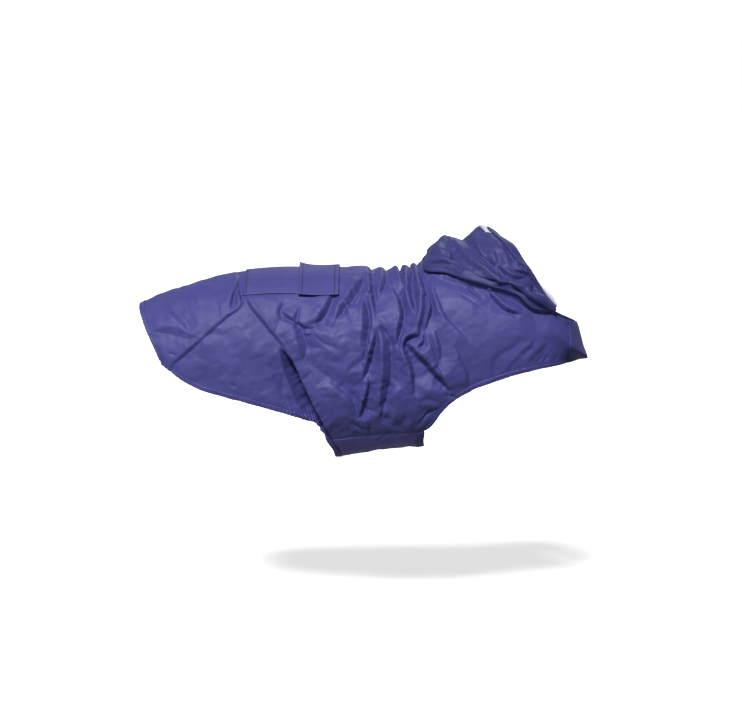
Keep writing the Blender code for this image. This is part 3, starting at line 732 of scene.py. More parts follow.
def add(tree, kind, inputs=None, **settings):
    """A shader node with its settings, and its inputs linked or set."""
    made = tree.nodes.new(kind)
    for name, value in settings.items():
        setattr(made, name, value)
    for name, value in (inputs or {}).items():
        if isinstance(value, bpy.types.NodeSocket):
            tree.links.new(value, made.inputs[name])
        else:
            made.inputs[name].default_value = value
    return made


def calc(tree, operation, first, second=0.0):
    return add(tree, "ShaderNodeMath", {0: first, 1: second}, operation=operation).outputs[0]


def remap(tree, value, from_low, from_high, to_low, to_high):
    return add(tree, "ShaderNodeMapRange", {
        "Value": value, "From Min": from_low, "From Max": from_high, "To Min": to_low, "To Max": to_high,
    }).outputs["Result"]


def mapped(tree, vector, **inputs):
    named = {name.title(): value for name, value in inputs.items()}
    return add(tree, "ShaderNodeMapping", {"Vector": vector, **named}).outputs["Vector"]


def texture(tree, kind, vector, output="Fac", bands=None, **inputs):
    """A procedural texture's output, with its inputs by name."""
    named = {name.title(): value for name, value in inputs.items()}
    settings = {"bands_direction": bands} if bands else {}
    return add(tree, "ShaderNodeTex" + kind, {"Vector": vector, **named}, **settings).outputs[output]


def bump(tree, height, strength, distance, below=None):
    """A bump's normal, on top of the normal below it."""
    inputs = {"Height": height, "Strength": strength, "Distance": distance}
    if below is not None:
        inputs["Normal"] = below
    return add(tree, "ShaderNodeBump", inputs).outputs["Normal"]


def ramp(tree, factor, *stops):
    """A colour ramp through (place, colour) stops."""
    made = add(tree, "ShaderNodeValToRGB", {"Fac": factor})
    for element, (place, colour) in zip(made.color_ramp.elements, stops):
        element.position = place
        element.color = (*colour, 1.0)
    return made.outputs["Color"]


def new_material(name):
    made = bpy.data.materials.new(name)
    made.use_nodes = True
    return made, made.node_tree, made.node_tree.nodes["Principled BSDF"]


def finish_shader(tree, shader, colour, normal, **constants):
    """Links the colour and the normal, and sets the shader's constants by name."""
    tree.links.new(colour, shader.inputs["Base Color"])
    tree.links.new(normal, shader.inputs["Normal"])
    for name, value in constants.items():
        shader.inputs[name.replace("_", " ")].default_value = value


def stitched(tree, colour, woven, seams):
    """The colour with dark dashes along the seams: the darker thread, and painted shade of the groove where
    the stitching pulls the cloth in, fainter in the gaps.
    """
    across, along, _ = add(tree, "ShaderNodeSeparateXYZ", {"Vector": woven}).outputs
    dash = calc(tree, "SINE", calc(tree, "MULTIPLY", along, 2 * math.pi / (DASH * MM)))
    thread_and_shade_run = remap(tree, dash, *DASH_TURN, GAP_SHADE, 1.0)
    total = 0.0
    for place in seams:
        away = calc(tree, "ABSOLUTE", calc(tree, "SUBTRACT", across, place * MM))
        near = remap(tree, away, SEAM_HALF * MM, 2 * SEAM_HALF * MM, 1.0, 0.0)
        total = calc(tree, "MAXIMUM", total, calc(tree, "MULTIPLY", near, thread_and_shade_run))
    # inputs 6 and 7 and output 2 are the node's colours
    inputs = {0: total, 6: colour, 7: (*SEAM_THREAD_AND_SHADE, 1.0)}
    return add(tree, "ShaderNodeMix", inputs, data_type="RGBA").outputs[2]


def nylon_material(name, low, high, puckered=0.0, seams=()):
    """Crisp coated nylon: plain weave, faint streaks along the yarn, crinkles and a soft sheen.

    seams are topstitched lines, as places along the weave in millimetres, painted dark with their thread and
    with painted groove shade.
    """
    made, tree, shader = new_material(name)
    place = add(tree, "ShaderNodeTexCoord")
    solid, woven = place.outputs["Object"], place.outputs["UV"]
    blotch = texture(tree, "Noise", solid, scale=34.0, detail=4.0, roughness=0.6)
    lengthwise = mapped(tree, woven, scale=(70.0, 1100.0, 1.0))
    streak = texture(tree, "Noise", lengthwise, scale=1.0, detail=3.0)
    tone = calc(tree, "MULTIPLY", calc(tree, "ADD", blotch, streak), 0.5)
    colour = ramp(tree, tone, (0.38, low), (0.62, high))
    if seams:
        colour = stitched(tree, colour, woven, seams)
    worn = texture(tree, "Noise", solid, scale=90.0, detail=5.0, roughness=0.65)
    tree.links.new(remap(tree, worn, 0.3, 0.7, *ROUGHNESS), shader.inputs["Roughness"])

    crinkle = texture(tree, "Noise", solid, scale=120.0, detail=5.0, roughness=0.62, distortion=0.6)
    normal = bump(tree, crinkle, strength=0.35, distance=0.0008)
    fine = texture(tree, "Noise", solid, scale=520.0, detail=3.0, roughness=0.6)
    normal = bump(tree, fine, strength=0.5, distance=0.00022, below=normal)
    warp, weft = (
        texture(tree, "Wave", woven, bands=axis, scale=WEAVE, distortion=0.6, detail=1.0) for axis in "XY"
    )
    cross = calc(tree, "MULTIPLY", warp, weft)
    normal = bump(tree, cross, strength=0.35, distance=0.00008, below=normal)
    if puckered:
        slanted = mapped(tree, woven, rotation=(0.0, 0.0, 0.35))
        pucker = texture(tree, "Wave", slanted, bands="X", scale=45.0, distortion=3.5, detail=2.0)
        normal = bump(tree, pucker, strength=puckered, distance=0.0009, below=normal)
    finish_shader(tree, shader, colour, normal, Sheen_Weight=0.05, Sheen_Roughness=0.5, Sheen_Tint=SHEEN,
                  Specular_IOR_Level=0.30)
    return made


def mesh_material():
    """Knitted mesh: round holes in rows between white yarns."""
    made, tree, shader = new_material("mesh_lining")
    woven = add(tree, "ShaderNodeTexCoord").outputs["UV"]
    holes = texture(tree, "Voronoi", woven, "Distance", scale=620.0, randomness=0.12)
    colour = ramp(tree, holes, (0.22, MESH_LOW), (0.40, MESH_HIGH))
    normal = bump(tree, holes, strength=0.8, distance=0.0004)
    finish_shader(tree, shader, colour, normal, Roughness=0.82, Sheen_Weight=0.2)
    return made


def tape_material():
    """Reflective tape: grey-white glass-bead cloth in a fine grain."""
    made, tree, shader = new_material("reflective_tape")
    woven = add(tree, "ShaderNodeTexCoord").outputs["UV"]
    beads = texture(tree, "Voronoi", woven, "Distance", scale=1500.0, randomness=0.5)
    colour = ramp(tree, beads, (0.15, TAPE_HIGH), (0.60, TAPE_LOW))
    normal = bump(tree, beads, strength=0.4, distance=0.00008)
    finish_shader(tree, shader, colour, normal, Roughness=0.38, Metallic=0.15)
    return made


def thread_material():
    """Twisted sewing thread, darker in the grooves of its twist: painted shade."""
    made, tree, shader = new_material("thread")
    solid = add(tree, "ShaderNodeTexCoord").outputs["Object"]
    twist = texture(tree, "Wave", solid, bands="DIAGONAL", scale=1400.0, distortion=1.0)
    colour = ramp(tree, twist, (0.2, THREAD_GROOVE_SHADE), (0.8, THREAD))
    normal = bump(tree, twist, strength=0.5, distance=0.0001)
    finish_shader(tree, shader, colour, normal, Roughness=0.5)
    return made


nylon = nylon_material("nylon", NYLON_LOW, NYLON_HIGH)
# the hood's nylon, painted darker than the coat's as painted shade
hood_nylon_painted_shade = nylon_material("nylon_hood_painted_shade", HOOD_PAINTED_SHADE_LOW, HOOD_PAINTED_SHADE_HIGH)
hem_nylon = nylon_material("nylon_edge", HEM_LOW, HEM_HIGH, puckered=0.3)
# the belly panel's nylon, painted lighter than the coat's as painted light
belly_nylon_painted_light = nylon_material("nylon_belly_painted_light", BELLY_PAINTED_LIGHT_LOW, BELLY_PAINTED_LIGHT_HIGH)
pocket_nylon = nylon_material("nylon_pocket", NYLON_LOW, NYLON_HIGH, seams=(4.0,))
flap_nylon = nylon_material("nylon_flap", NYLON_LOW, NYLON_HIGH, seams=(6.5, 57.0))
lining_mesh = mesh_material()
tape = tape_material()
thread = thread_material()


# ---------------------------------------------------------------- main panel, hems, belly panel

ELASTIC_FROM = 4.6  # rings between which the rear side hem is elasticated, and its fades there
ELASTIC_TO = 7.0
ELASTIC_FADES = (0.6, 0.3)
HEM_SLANT = 0.6  # of puckers, as the way along the hem for each step away from it
GATHER_SLANT = 0.25
BAND_FADE = 0.15  # in rings
BAND_FLATTER = 0.75
HEM_SHOWN = 0.8  # wall of the turned hems
HEM_RISE = 0.25  # between the shown cloth and the hem on it

OVERLAP_EDGE = 222.0
OVERLAP_CELLS = 40
OVERLAP_SWEEP = 60.0
OVERLAP_ROOM = 0.4
OVERLAP_SHOWN = 0.6
OVERLAP_JOIN = 184.5  # angle at which it has run into the left front, and how it sinks there
OVERLAP_DIVE = 3.5
OVERLAP_WHOLE = 1.5  # how near the middle the front's lower edge is, where it starts to
OVERLAP_SINK = 2.4
# The free edge stands off a little: height, reach, spacing, seed and slant of its waves.
OVERLAP_CURL = 0.45
OVERLAP_CURL_REACH = 16.0
OVERLAP_CURL_STEP = 7.0
OVERLAP_CURL_SEED = 31
OVERLAP_CURL_SLANT = 0.4
EDGE_POINTS = 200

BELLY_ROWS = 84
BELLY_CELLS = 110
BELLY_TUCK = 0.035  # angle by which the belly panel runs on inside the side seams
BELLY_SINK = 2.0
BELLY_SINK_FADE = 0.025
BELLY_REAR_SLANT = (-0.17, 0.1)  # of the panel's ends, at the seams and below them, in rings
BELLY_FRONT_SLANT = (-0.02, -0.1)
SLANT_FADE = 0.4
BELLY_SLANT = 0.5
BELLY_WAVE = 0.6  # height of the soft waves, and their lengths across, along and in their bends
BELLY_WAVE_ACROSS = 17.0
BELLY_WAVE_ALONG = 24.0
BELLY_WAVE_BEND = 29.0
BELLY_SEWN_FLAT = 4.0  # from the seams


def fine_stations():
    """Stations of all rows of the coat's mesh."""
    stations = [0.0]
    for first, last, cells in STATION_RUNS:
        stations.extend(np.linspace(first, last, cells + 1)[1:])
    return np.array(stations)


def row_at(ring):
    """The mesh's row nearest to a ring."""
    return int(np.argmin(np.abs(stations - ring)))


def between(start, end, fades):
    """1 between two stations, fading to 0 inside its ends."""
    return np.clip((stations - start) / fades[0], 0, 1) * np.clip((end - stations) / fades[1], 0, 1)


def edge_waves(name, points, line, slant):
    """Slanted puckers that run in from a line with one point for each row of the grid."""
    away = np.linalg.norm(points - line[:, None], axis=-1)
    return puckers(name, away, travelled(line)[:, None] + slant * away)


def hem_waves(points):
    """Puckers along the hems, and gathers where the rear side hems are elasticated."""
    elastic = between(ELASTIC_FROM, ELASTIC_TO, ELASTIC_FADES)[:, None]
    waves = np.zeros(angles.shape)
    for side, column, half in (("right", 0, angles < 0), ("left", -1, angles >= 0)):
        plain = edge_waves(side + " hem", points, points[:, column], HEM_SLANT)
        gathered = edge_waves(side + " gathers", points, points[:, column], GATHER_SLANT)
        waves += np.where(half, plain * (1 - elastic) + gathered * elastic, 0)
    # between the belly seams the hem is sewn flat to the belly panel
    waves *= 1 - BAND_FLATTER * between(BAND_REAR, BAND_FRONT, (BAND_FADE, BAND_FADE))[:, None]
    return waves + edge_waves("tail hem", points.swapaxes(0, 1), points[0], HEM_SLANT).T


def overlap_corner():
    """The station on the hem where the left front's edge crosses it."""
    along = np.linspace(FRONT_CORNER - 1, FRONT_CORNER, EDGE_POINTS)
    ahead = base_point(along, np.radians(ring_value("hem_angle", along)))[:, 0]
    return float(np.interp(OVERLAP_EDGE, ahead, along))


def belly_form():
    """The belly panel from rear to front and from seam to seam, tucked under the seams."""
    share = np.linspace(-1, 1, BELLY_CELLS + 1)
    below_seam = ease((1 - np.abs(share)) / SLANT_FADE)
    rear, front = (
        ring + at_seam + (below - at_seam) * below_seam
        for ring, (at_seam, below) in ((BAND_REAR, BELLY_REAR_SLANT), (BAND_FRONT, BELLY_FRONT_SLANT))
    )
    places = rear + (front - rear) * np.linspace(0, 1, BELLY_ROWS + 1)[:, None]
    half = math.pi - np.radians(ring_value("hem_angle", places)) + BELLY_TUCK
    turns = -math.pi + share * half
    tucked = ease((np.abs(turns + math.pi) - half + BELLY_TUCK + BELLY_SINK_FADE) / BELLY_SINK_FADE)
    return coat_point(places, turns, -BELLY_SINK * tucked)


def belly_waves(across, along):
    """Puckers at the belly panel's ends and seams, and soft waves between them."""
    seams = np.minimum(across, across[-1] - across)
    ends = np.minimum(along, along[-1] - along)[:, None]
    along = along[:, None]
    bend = np.sin(along / BELLY_WAVE_BEND)
    soft = np.sin(across / BELLY_WAVE_ACROSS + bend) * np.sin(along / BELLY_WAVE_ALONG + 1)
    at_ends = puckers("belly ends", ends, across + BELLY_SLANT * along)
    at_seams = puckers("belly seams", seams, along + BELLY_SLANT * across)
    return (at_ends + at_seams + BELLY_WAVE * soft) * np.clip(seams / BELLY_SEWN_FLAT, 0, 1)


def overlap_row(row):
    """Points of the left front over the right on one of the coat's rows, and how far each has sunk."""
    sweep = np.linspace(OVERLAP_SWEEP, float(ring_value("hem_angle", stations[row])), EDGE_POINTS)
    ahead = base_point(stations[row], np.radians(sweep))[:, 0]
    edge = np.interp(OVERLAP_EDGE, ahead, sweep)
    whole = np.clip((sweep[-1] - CHEST_MIDDLE) / OVERLAP_WHOLE + 1, 0, 1)
    join = sweep[-1] + (OVERLAP_JOIN - CHEST_MIDDLE) * whole
    turns = -np.radians(np.linspace(join, edge, OVERLAP_CELLS + 1))
    past_middle = angles[row] > math.pi / 2
    all_round = np.concatenate([angles[row][past_middle] - 2 * math.pi, angles[row]])
    raised = coat[row] + normals[row] * (WALL + OVERLAP_ROOM)
    line_round = np.concatenate([raised[past_middle], raised])
    sunk = np.clip((-np.degrees(turns) - OVERLAP_JOIN + OVERLAP_DIVE) / OVERLAP_DIVE, 0, 1)
    return sampled(line_round, all_round, turns), sunk


def overlap_form():
    """The left front's lap with its free edge standing off a little, and its normals."""
    lines, sunk = zip(*[overlap_row(row) for row in np.flatnonzero(stations > lapped)])
    points, _ = moved_out(np.array(lines), -OVERLAP_SINK * np.array(sunk))
    edge = points[:, -1]
    away = np.linalg.norm(points - edge[:, None], axis=-1)
    along = travelled(edge)[:, None] + OVERLAP_CURL_SLANT * away
    waves = 1 + wobble(along, OVERLAP_CURL_STEP, OVERLAP_CURL_SEED)
    return moved_out(points, OVERLAP_CURL * bell(away, OVERLAP_CURL_REACH) * waves)


stations = fine_stations()
angles = np.array([fine_columns(station) for station in stations])
last = angles.shape[1] - 1
coat = coat_point(stations[:, None], angles)
coat, normals = moved_out(coat, hem_waves(coat))
main_panel = sheet_object("main_panel_cloth", coat, WALL, nylon, use_rim_only=True)

lapped = overlap_corner()
rear_row, front_row, corner_row = map(row_at, (BAND_REAR, BAND_FRONT, FRONT_CORNER))
rows = np.arange(len(stations) - 1)[:, None]
near_edge = np.arange(last) < HEM_CELLS
far_edge = np.arange(last) >= last - HEM_CELLS
hem_cells = {
    "rear_hem": (rows < HEM_CELLS) | ((rows < rear_row) & (near_edge | far_edge)),
    "chest_hem_right": (rows >= front_row) & (stations[rows + 1] < lapped) & near_edge,
    "chest_hem_left": (rows >= front_row) & (rows < corner_row) & far_edge,
}
hem_grid = coat + normals * (WALL + HEM_RISE)
hems = {
    name: sheet_object(name + "_cloth", hem_grid, HEM_SHOWN, hem_nylon, keep=chosen)
    for name, chosen in hem_cells.items()
}

belly = belly_form()
belly_along = travelled(belly[:, 0])
belly, belly_normals = moved_out(belly, belly_waves(travelled(belly[0]), belly_along))
belly_panel = sheet_object("belly_panel_cloth", belly, WALL, belly_nylon_painted_light)
belly_hem_grid = belly + belly_normals * (WALL + HEM_RISE)
belly_hem_rows = int(np.searchsorted(belly_along, HEM))
belly_row = np.repeat(np.arange(BELLY_ROWS)[:, None], BELLY_CELLS, axis=1)
belly_hem_cells = {
    "belly_hem_rear": belly_row < belly_hem_rows,
    "belly_hem_front": belly_row >= BELLY_ROWS - belly_hem_rows,
}
for name, chosen in belly_hem_cells.items():
    hems[name] = sheet_object(name + "_cloth", belly_hem_grid, HEM_SHOWN, hem_nylon, keep=chosen)

overlap, overlap_normals = overlap_form()
front_overlap = sheet_object("front_overlap_cloth", overlap, OVERLAP_SHOWN, nylon)


# ---------------------------------------------------------------- hood

# The hood's sections: angle round the neck, and the points where it folds over, lies back, dips
# and crests, and its face edge.
HOOD_COLUMNS = (
    "angle", "fold_x", "fold_y", "fold_z", "back_x", "back_y", "back_z", "dip_x", "dip_y", "dip_z",
    "crown_x", "crown_y", "crown_z", "face_x", "face_y", "face_z",
)
HOOD_SECTIONS = (
    (0, 0, 0, 3, 32, 0, 41, 58, 0, 34, 91, 0, 57, 114, 0, 45),
    (25, 0, 56, -13, 21, 57, 25, 54, 50, 23, 92, 36, 51, 120, 32, 39),
    (50, 34, 80, -15, 43, 88, 3, 70, 79, 7, 105, 65, 35, 137, 56, 28),
    (75, 88, 100, -28, 88, 106, -18, 101, 97, -11, 129, 87, 11, 152, 72, 4),
    (100, 136, 105, -41, 136, 110, -32, 139, 103, -20, 151, 94, -9, 166, 77, -16),
    (115, 162, 98, -59, 160, 101, -52, 162, 98, -43, 170, 90, -37, 184, 77, -46),
    (129, 202, 84, -78, 197, 84, -75, 195, 83, -72, 197, 80, -69, 202, 76, -67),
)
HOOD_TURNS = [-HOOD_SECTIONS[1][0], *(row[0] for row in HOOD_SECTIONS)]
HOOD_END = 129.0
HOOD_LIFT = 3.0
HOOD_SLACK = 8.0
HOOD_AROUND = 190
HOOD_DOWN = 84
HOOD_TUCK = 0.8  # casing widths from the face edge, where the hood ends inside the casing
HOOD_SINK = 1.0
HOOD_DEPTH = 130.0  # from the neck seam to the face edge, about
CURVE_POINTS = 160
UPPER_FADE = 0.1
# How far the hood stays off the coat: at its neck seam, above it and in its upper layer, which
# begins between these shares of its rows.
SEAM_REST = 0.5
SEAM_SHARE = 0.07  # of the hood's rows, over which it rises from the neck seam
HOOD_REST = 6.0
LAYER_REST = 11.0
LAYER_SHARES = (0.4, 0.6)
FOLD_ROOM = 3.0  # how much nearer the hood's folds may come
ENDS_FROM = 0.9  # of the way round to the hood's ends, from where it comes down to the neck seam
ENDS_DROP = 0.75
REST_FROM = 9  # first ring of the coat that the hood can rest on
REST_FADE = 3.0
REST_EASE = 10  # rounds of smoothing, with a point's own weight against each neighbour's
OWN_WEIGHT = 2

CASING_WIDTH = 19.0
CASING_SHARE = 0.25
CASING_SHOWN = 1.6
CASING_FROM = (0.92, 0.965)  # of the hood's rows, where it runs in under the casing
CASING_DOWN = 12
CASING_PUFF = 0.8
CASING_ROUNDNESS = 0.6
CASING_GATHER = 0.35
CASING_GATHER_EDGE = 0.35  # share of the gathers at the casing's two edges
CASING_STEP = 8.0
CASING_SLANT = 3.0
CASING_SEED = 42

LINING_SHARE = 0.7  # of the hood's rows, where the lining that shows begins
LINING_GAP = 1.5
LINING_EASE = 6
LINING_SPREAD = 2  # cells by which the deepest places reach their neighbours
LINING_NARROWS = (106.0, 118.0)  # angles between which it draws back to the casing
LINING_SHOWN = 0.5
LINING_ROLL = 9.0
LINING_ROLL_ANGLE = 120.0
LINING_ROLL_SPREAD = 12.0
LINING_ROLL_ROWS = (0.35, 0.7, 1.0)

STRIP_WIDTH = 10.0
STRIP_CELLS = 8
STRIP_HALF_ANGLE = 30.0
STRIP_FROM_EDGE = 22.0
STRIP_SHOWN = 0.5
STRIP_RISE = 0.4


def neck_axis():
    """Unit vector out of the neck opening, square to the plane of the neck edge."""
    top, bottom = base_point(NECK, 0.0), base_point(NECK, math.pi)
    chord = (bottom - top) / np.linalg.norm(bottom - top)
    return np.array([-chord[2], 0.0, chord[0]])


def hood_controls(angle):
    """The hood section's control points at this angle in degrees, positive on the left."""
    side = -1.0 if angle < 0 else 1.0
    turn = abs(angle)
    values = {}
    for name, knots in list(zip(HOOD_COLUMNS, zip(*HOOD_SECTIONS)))[1:]:
        across = -knots[1] if name.endswith("_y") else knots[1]  # the first section on the other side
        values[name] = float(hermite(HOOD_TURNS, [across, *knots], turn))
    points = [
        np.array([values[name + "_x"], side * values[name + "_y"], values[name + "_z"]])
        for name in ("fold", "back", "dip", "crown", "face")
    ]
    seam = base_point(NECK, math.radians(angle)) + neck_axis() * HOOD_LIFT
    radians = math.radians(turn)
    away = np.array([0.0, side * math.sin(radians), max(math.cos(radians), 0)])
    under = (seam + points[0]) / 2 + away * HOOD_SLACK * max(0.0, 1 - turn / HOOD_END)
    return np.array([seam, under, *points])


def through(points, shares):
    """Points at these shares of the length of a smooth curve through the given points."""
    curve = smooth_curve(points, CURVE_POINTS)
    lengths = travelled(curve)
    return sampled(curve, lengths, np.asarray(shares) * lengths[-1]), lengths[-1]


def casing_part(length):
    """The casing's width as a share of a hood section of this length."""
    return min(CASING_WIDTH, CASING_SHARE * length) / length


def hood_grid(first, end, cells):
    """Hood sections between two places, in casing widths from the face edge; None is the seam."""
    grid = []
    for controls, length in hood_sections:
        start = 0.0 if first is None else 1 - first * casing_part(length)
        shares = np.linspace(start, 1 - end * casing_part(length), cells + 1)
        grid.append(through(controls, shares)[0])
    return np.array(grid)


def neighbours(grid):
    """A grid's values one cell away in each of the four directions."""
    wide = np.pad(grid, ((1, 1), (1, 1), (0, 0))[: grid.ndim], mode="edge")
    return wide[:-2, 1:-1], wide[2:, 1:-1], wide[1:-1, :-2], wide[1:-1, 2:]


def rest_on_coat(points, clearance):
    """Move points that lie nearer to the coat than the clearance out along its normals."""
    flat = points.reshape(-1, 3)
    nearest = np.array([rest_tree.find(Vector(point))[1] for point in flat])
    height = ((flat - rest_points[nearest]) * rest_normals[nearest]).sum(axis=1)
    past_edge = (flat - base_point(NECK, 0.0)) @ neck_axis()
    over_coat = 1 - np.clip(past_edge / REST_FADE, 0, 1)
    wanted = np.broadcast_to(clearance, points.shape[:-1]).reshape(-1)
    push = np.maximum(wanted - height, 0) * over_coat
    move = (rest_normals[nearest] * push[:, None]).reshape(points.shape)
    for _ in range(REST_EASE):  # neighbouring points move alike
        move = (sum(neighbours(move)) + OWN_WEIGHT * move) / (4 + OWN_WEIGHT)
    return points + move


def hood_lift(points):
    """Height of the hood's folds and puckers, and how it sinks in under the casing."""
    lengths = [travelled(controls) for controls, _ in hood_sections]
    under_turn = np.array([length[2] / length[-1] for length in lengths])  # hidden under its fold
    upper = ease((hood_share - under_turn[:, None]) / UPPER_FADE)
    folds = map_height(hood_map, points) + crease_height(points, HOOD_CREASES)
    along = travelled(points[:, -1])[:, None]
    lift = folds * upper + puckers("casing seam", (1 - hood_share) * HOOD_DEPTH, along)
    under_casing = ease((hood_share - CASING_FROM[0]) / (CASING_FROM[1] - CASING_FROM[0]))
    return lift * (1 - under_casing) - HOOD_SINK * under_casing


def hood_form():
    """The hood's cloth, resting on the coat, and its normals."""
    from_seam = np.clip(hood_share / SEAM_SHARE, 0, 1)[:, None]
    rests = (SEAM_REST, HOOD_REST, HOOD_REST, LAYER_REST)
    clearance = np.interp(hood_share, (0, SEAM_SHARE, *LAYER_SHARES), rests) * ends_low
    points = hood_grid(None, HOOD_TUCK, HOOD_DOWN)
    points = points + (rest_on_coat(points, clearance) - points) * from_seam
    points, _ = moved_out(points, hood_lift(points))
    points = points + (rest_on_coat(points, clearance - FOLD_ROOM) - points) * from_seam
    return points, grid_normals(points)


def casing_form():
    """The puffed and gathered elastic casing, and its normals."""
    points = rest_on_coat(hood_grid(1.0, 0.0, CASING_DOWN), LAYER_REST * ends_low)
    share = np.linspace(0, 1, CASING_DOWN + 1)
    bulge = np.sin(math.pi * share)
    along = travelled(points[:, 0])[:, None] + CASING_SLANT * share
    gathers = CASING_GATHER_EDGE + (1 - CASING_GATHER_EDGE) * bulge
    gathers = gathers * wobble(along, CASING_STEP, CASING_SEED)
    return moved_out(points, CASING_PUFF * bulge**CASING_ROUNDNESS + CASING_GATHER * gathers)


def lining_form(cover):
    """The lining inside the hood's cover, with a roll past the face edge near the throat."""
    inner = cover.copy()
    for _ in range(LINING_EASE):
        for grid in (inner, inner.swapaxes(0, 1)):
            grid[1:-1] = (grid[:-2] + grid[2:] + OWN_WEIGHT * grid[1:-1]) / (2 + OWN_WEIGHT)
    inner_normals = grid_normals(inner)
    proud = np.maximum(((inner - cover) * inner_normals).sum(axis=-1), 0)
    for _ in range(LINING_SPREAD):  # the most of the neighbours, so it stays inside every fold
        proud = np.maximum.reduce([*neighbours(proud), proud])
    inner = inner - inner_normals * (LINING_GAP + proud)[..., None]
    roll = 1.0 + LINING_ROLL * bell(np.abs(hood_angles) - LINING_ROLL_ANGLE, LINING_ROLL_SPREAD)
    rolled = [inner[:, -1] + neck_axis() * (roll * share)[:, None] for share in LINING_ROLL_ROWS]
    return np.concatenate([inner, np.stack(rolled, axis=1)], axis=1)


def strip_row(row):
    """Points across the reflective strip on one of the hood's sections."""
    length = hood_sections[row][1]
    shown = 1 - HOOD_TUCK * casing_part(length)
    ends = [
        (1 - (STRIP_FROM_EDGE + width) / length) / shown * HOOD_DOWN for width in (STRIP_WIDTH, 0.0)
    ]
    raised = hood[row] + hood_normals[row] * (WALL + STRIP_RISE)
    return sampled(raised, range(HOOD_DOWN + 1), np.linspace(*ends, STRIP_CELLS + 1))


hood_angles = np.linspace(HOOD_END, -HOOD_END, HOOD_AROUND + 1)
hood_sections = [(controls, through(controls, [0.0])[1]) for controls in map(hood_controls, hood_angles)]
hood_share = np.linspace(0, 1, HOOD_DOWN + 1)
way_round = np.abs(np.linspace(-1, 1, HOOD_AROUND + 1))[:, None]
ends_low = 1 - ENDS_DROP * ease((way_round - ENDS_FROM) / (1 - ENDS_FROM))
rest_points = coat[stations > REST_FROM].reshape(-1, 3)
rest_normals = normals[stations > REST_FROM].reshape(-1, 3)
rest_tree = tree_of(rest_points)

hood, hood_normals = hood_form()
hood_cloth = sheet_object("hood_cloth", hood, WALL, hood_nylon_painted_shade)
casing, casing_normals = casing_form()
hood_casing = sheet_object("hood_casing_cloth", casing, CASING_SHOWN, hood_nylon_painted_shade)

lining_first, lining_last = int(LINING_SHARE * HOOD_DOWN), int(CASING_FROM[0] * HOOD_DOWN)
lining = lining_form(np.concatenate([hood[:, lining_first:lining_last], casing], axis=1))
narrowed = (np.abs(hood_angles[:-1]) - LINING_NARROWS[0]) / (LINING_NARROWS[1] - LINING_NARROWS[0])
first_cell = np.clip(narrowed, 0, 1) * (lining_last - lining_first + 2)
lining_cells = np.arange(lining.shape[1] - 1) >= first_cell[:, None]
hood_lining = sheet_object(
    "hood_lining_cloth", lining, LINING_SHOWN, lining_mesh, keep=lining_cells, offset=-1.0
)

strip = np.array([strip_row(row) for row in np.flatnonzero(np.abs(hood_angles) <= STRIP_HALF_ANGLE)])
reflective_strip = sheet_object("reflective_strip_tape", strip, STRIP_SHOWN, tape)


# ---------------------------------------------------------------- pocket and flap

CAD_WALL = 1.2
GAP = 0.3
POCKET_SHOWN = 0.8
POCKET_CELLS = (72, 110)
POCKET_ASIDE = 78.0  # half the pocket's width along the coat
POCKET_SUNK = 0.4
POCKET_CREST = 0.8
POCKET_WAVE = 0.5  # height of soft waves, and how many cross the pocket and bend along it
POCKET_WAVE_ACROSS = 7
POCKET_WAVE_BEND = 2
POCKET_WAVE_ALONG = 5
FLAP_SHOWN = 1.0
FLAP_CELLS = (36, 120)
FLAP_ASIDE = 80.0
FLAP_ROOM = 1.0
FLAP_LIFT = 1.2
FLAP_LOOSE = 1.6  # how far its corners stand off, and from which share of its half width
FLAP_LOOSE_FROM = 0.8
FLAP_PINCH = 5.0
PINCH_PLACE = 0.1
PINCH_REACH = 0.16


def patch(rear, front, half_angle, cells, lift):
    """A patch on the back between two X places, with lift as a function of its shares."""
    along, across = (np.linspace(low, 1, count + 1) for low, count in zip((0, -1), cells))
    turns = np.radians(across * half_angle)
    places = np.array([station_at(rear + (front - rear) * along, turn) for turn in turns]).T
    return lifted(places, turns, lift(along[:, None], across))


def pocket_lift(along, across):
    """The pocket's height over the coat: a low crest, soft waves and puckers along its seams."""
    length = POCKET_FRONT - POCKET_REAR
    edge = np.minimum(along * length, (1 - np.abs(across)) * POCKET_ASIDE)
    pucker = puckers("pocket", edge, along * length + across * POCKET_ASIDE)
    bend = POCKET_WAVE_BEND * np.sin(along * POCKET_WAVE_ALONG)
    soft = POCKET_WAVE * np.sin(across * POCKET_WAVE_ACROSS + bend)
    crest = POCKET_CREST * (1 - across**2)
    return CAD_WALL + 2 * GAP - POCKET_SUNK + (crest + soft) * np.sin(math.pi * along) + pucker


def flap_lift(along, across):
    """The flap's height over the coat: rising to its free edge, pinched near the middle."""
    length = FLAP_FRONT - FLAP_REAR
    free = (1 - along) ** 2
    pinch = FLAP_PINCH * free**2 * bell(across - PINCH_PLACE, PINCH_REACH)
    edge = np.minimum(np.minimum(along, 1 - along) * length, (1 - np.abs(across)) * FLAP_ASIDE)
    pucker = puckers("flap", edge, along * length + across * FLAP_ASIDE)
    corner = np.clip((np.abs(across) - FLAP_LOOSE_FROM) / (1 - FLAP_LOOSE_FROM), 0, 1)
    loose = FLAP_LOOSE * corner**2 * (1 - along) ** 0.5
    below = CAD_WALL + 2 * GAP + POCKET_CREST + FLAP_ROOM + GAP
    return below + FLAP_LIFT * free + pinch + pucker + loose


pocket = patch(POCKET_REAR, POCKET_FRONT, POCKET_ANGLE, POCKET_CELLS, pocket_lift)
pocket_normals = grid_normals(pocket)
pocket_cloth = sheet_object("pocket_cloth", pocket, POCKET_SHOWN, pocket_nylon)
flap = patch(FLAP_REAR, FLAP_FRONT, FLAP_ANGLE, FLAP_CELLS, flap_lift)
flap_normals = grid_normals(flap)
pocket_flap = sheet_object("pocket_flap_cloth", flap, FLAP_SHOWN, flap_nylon)


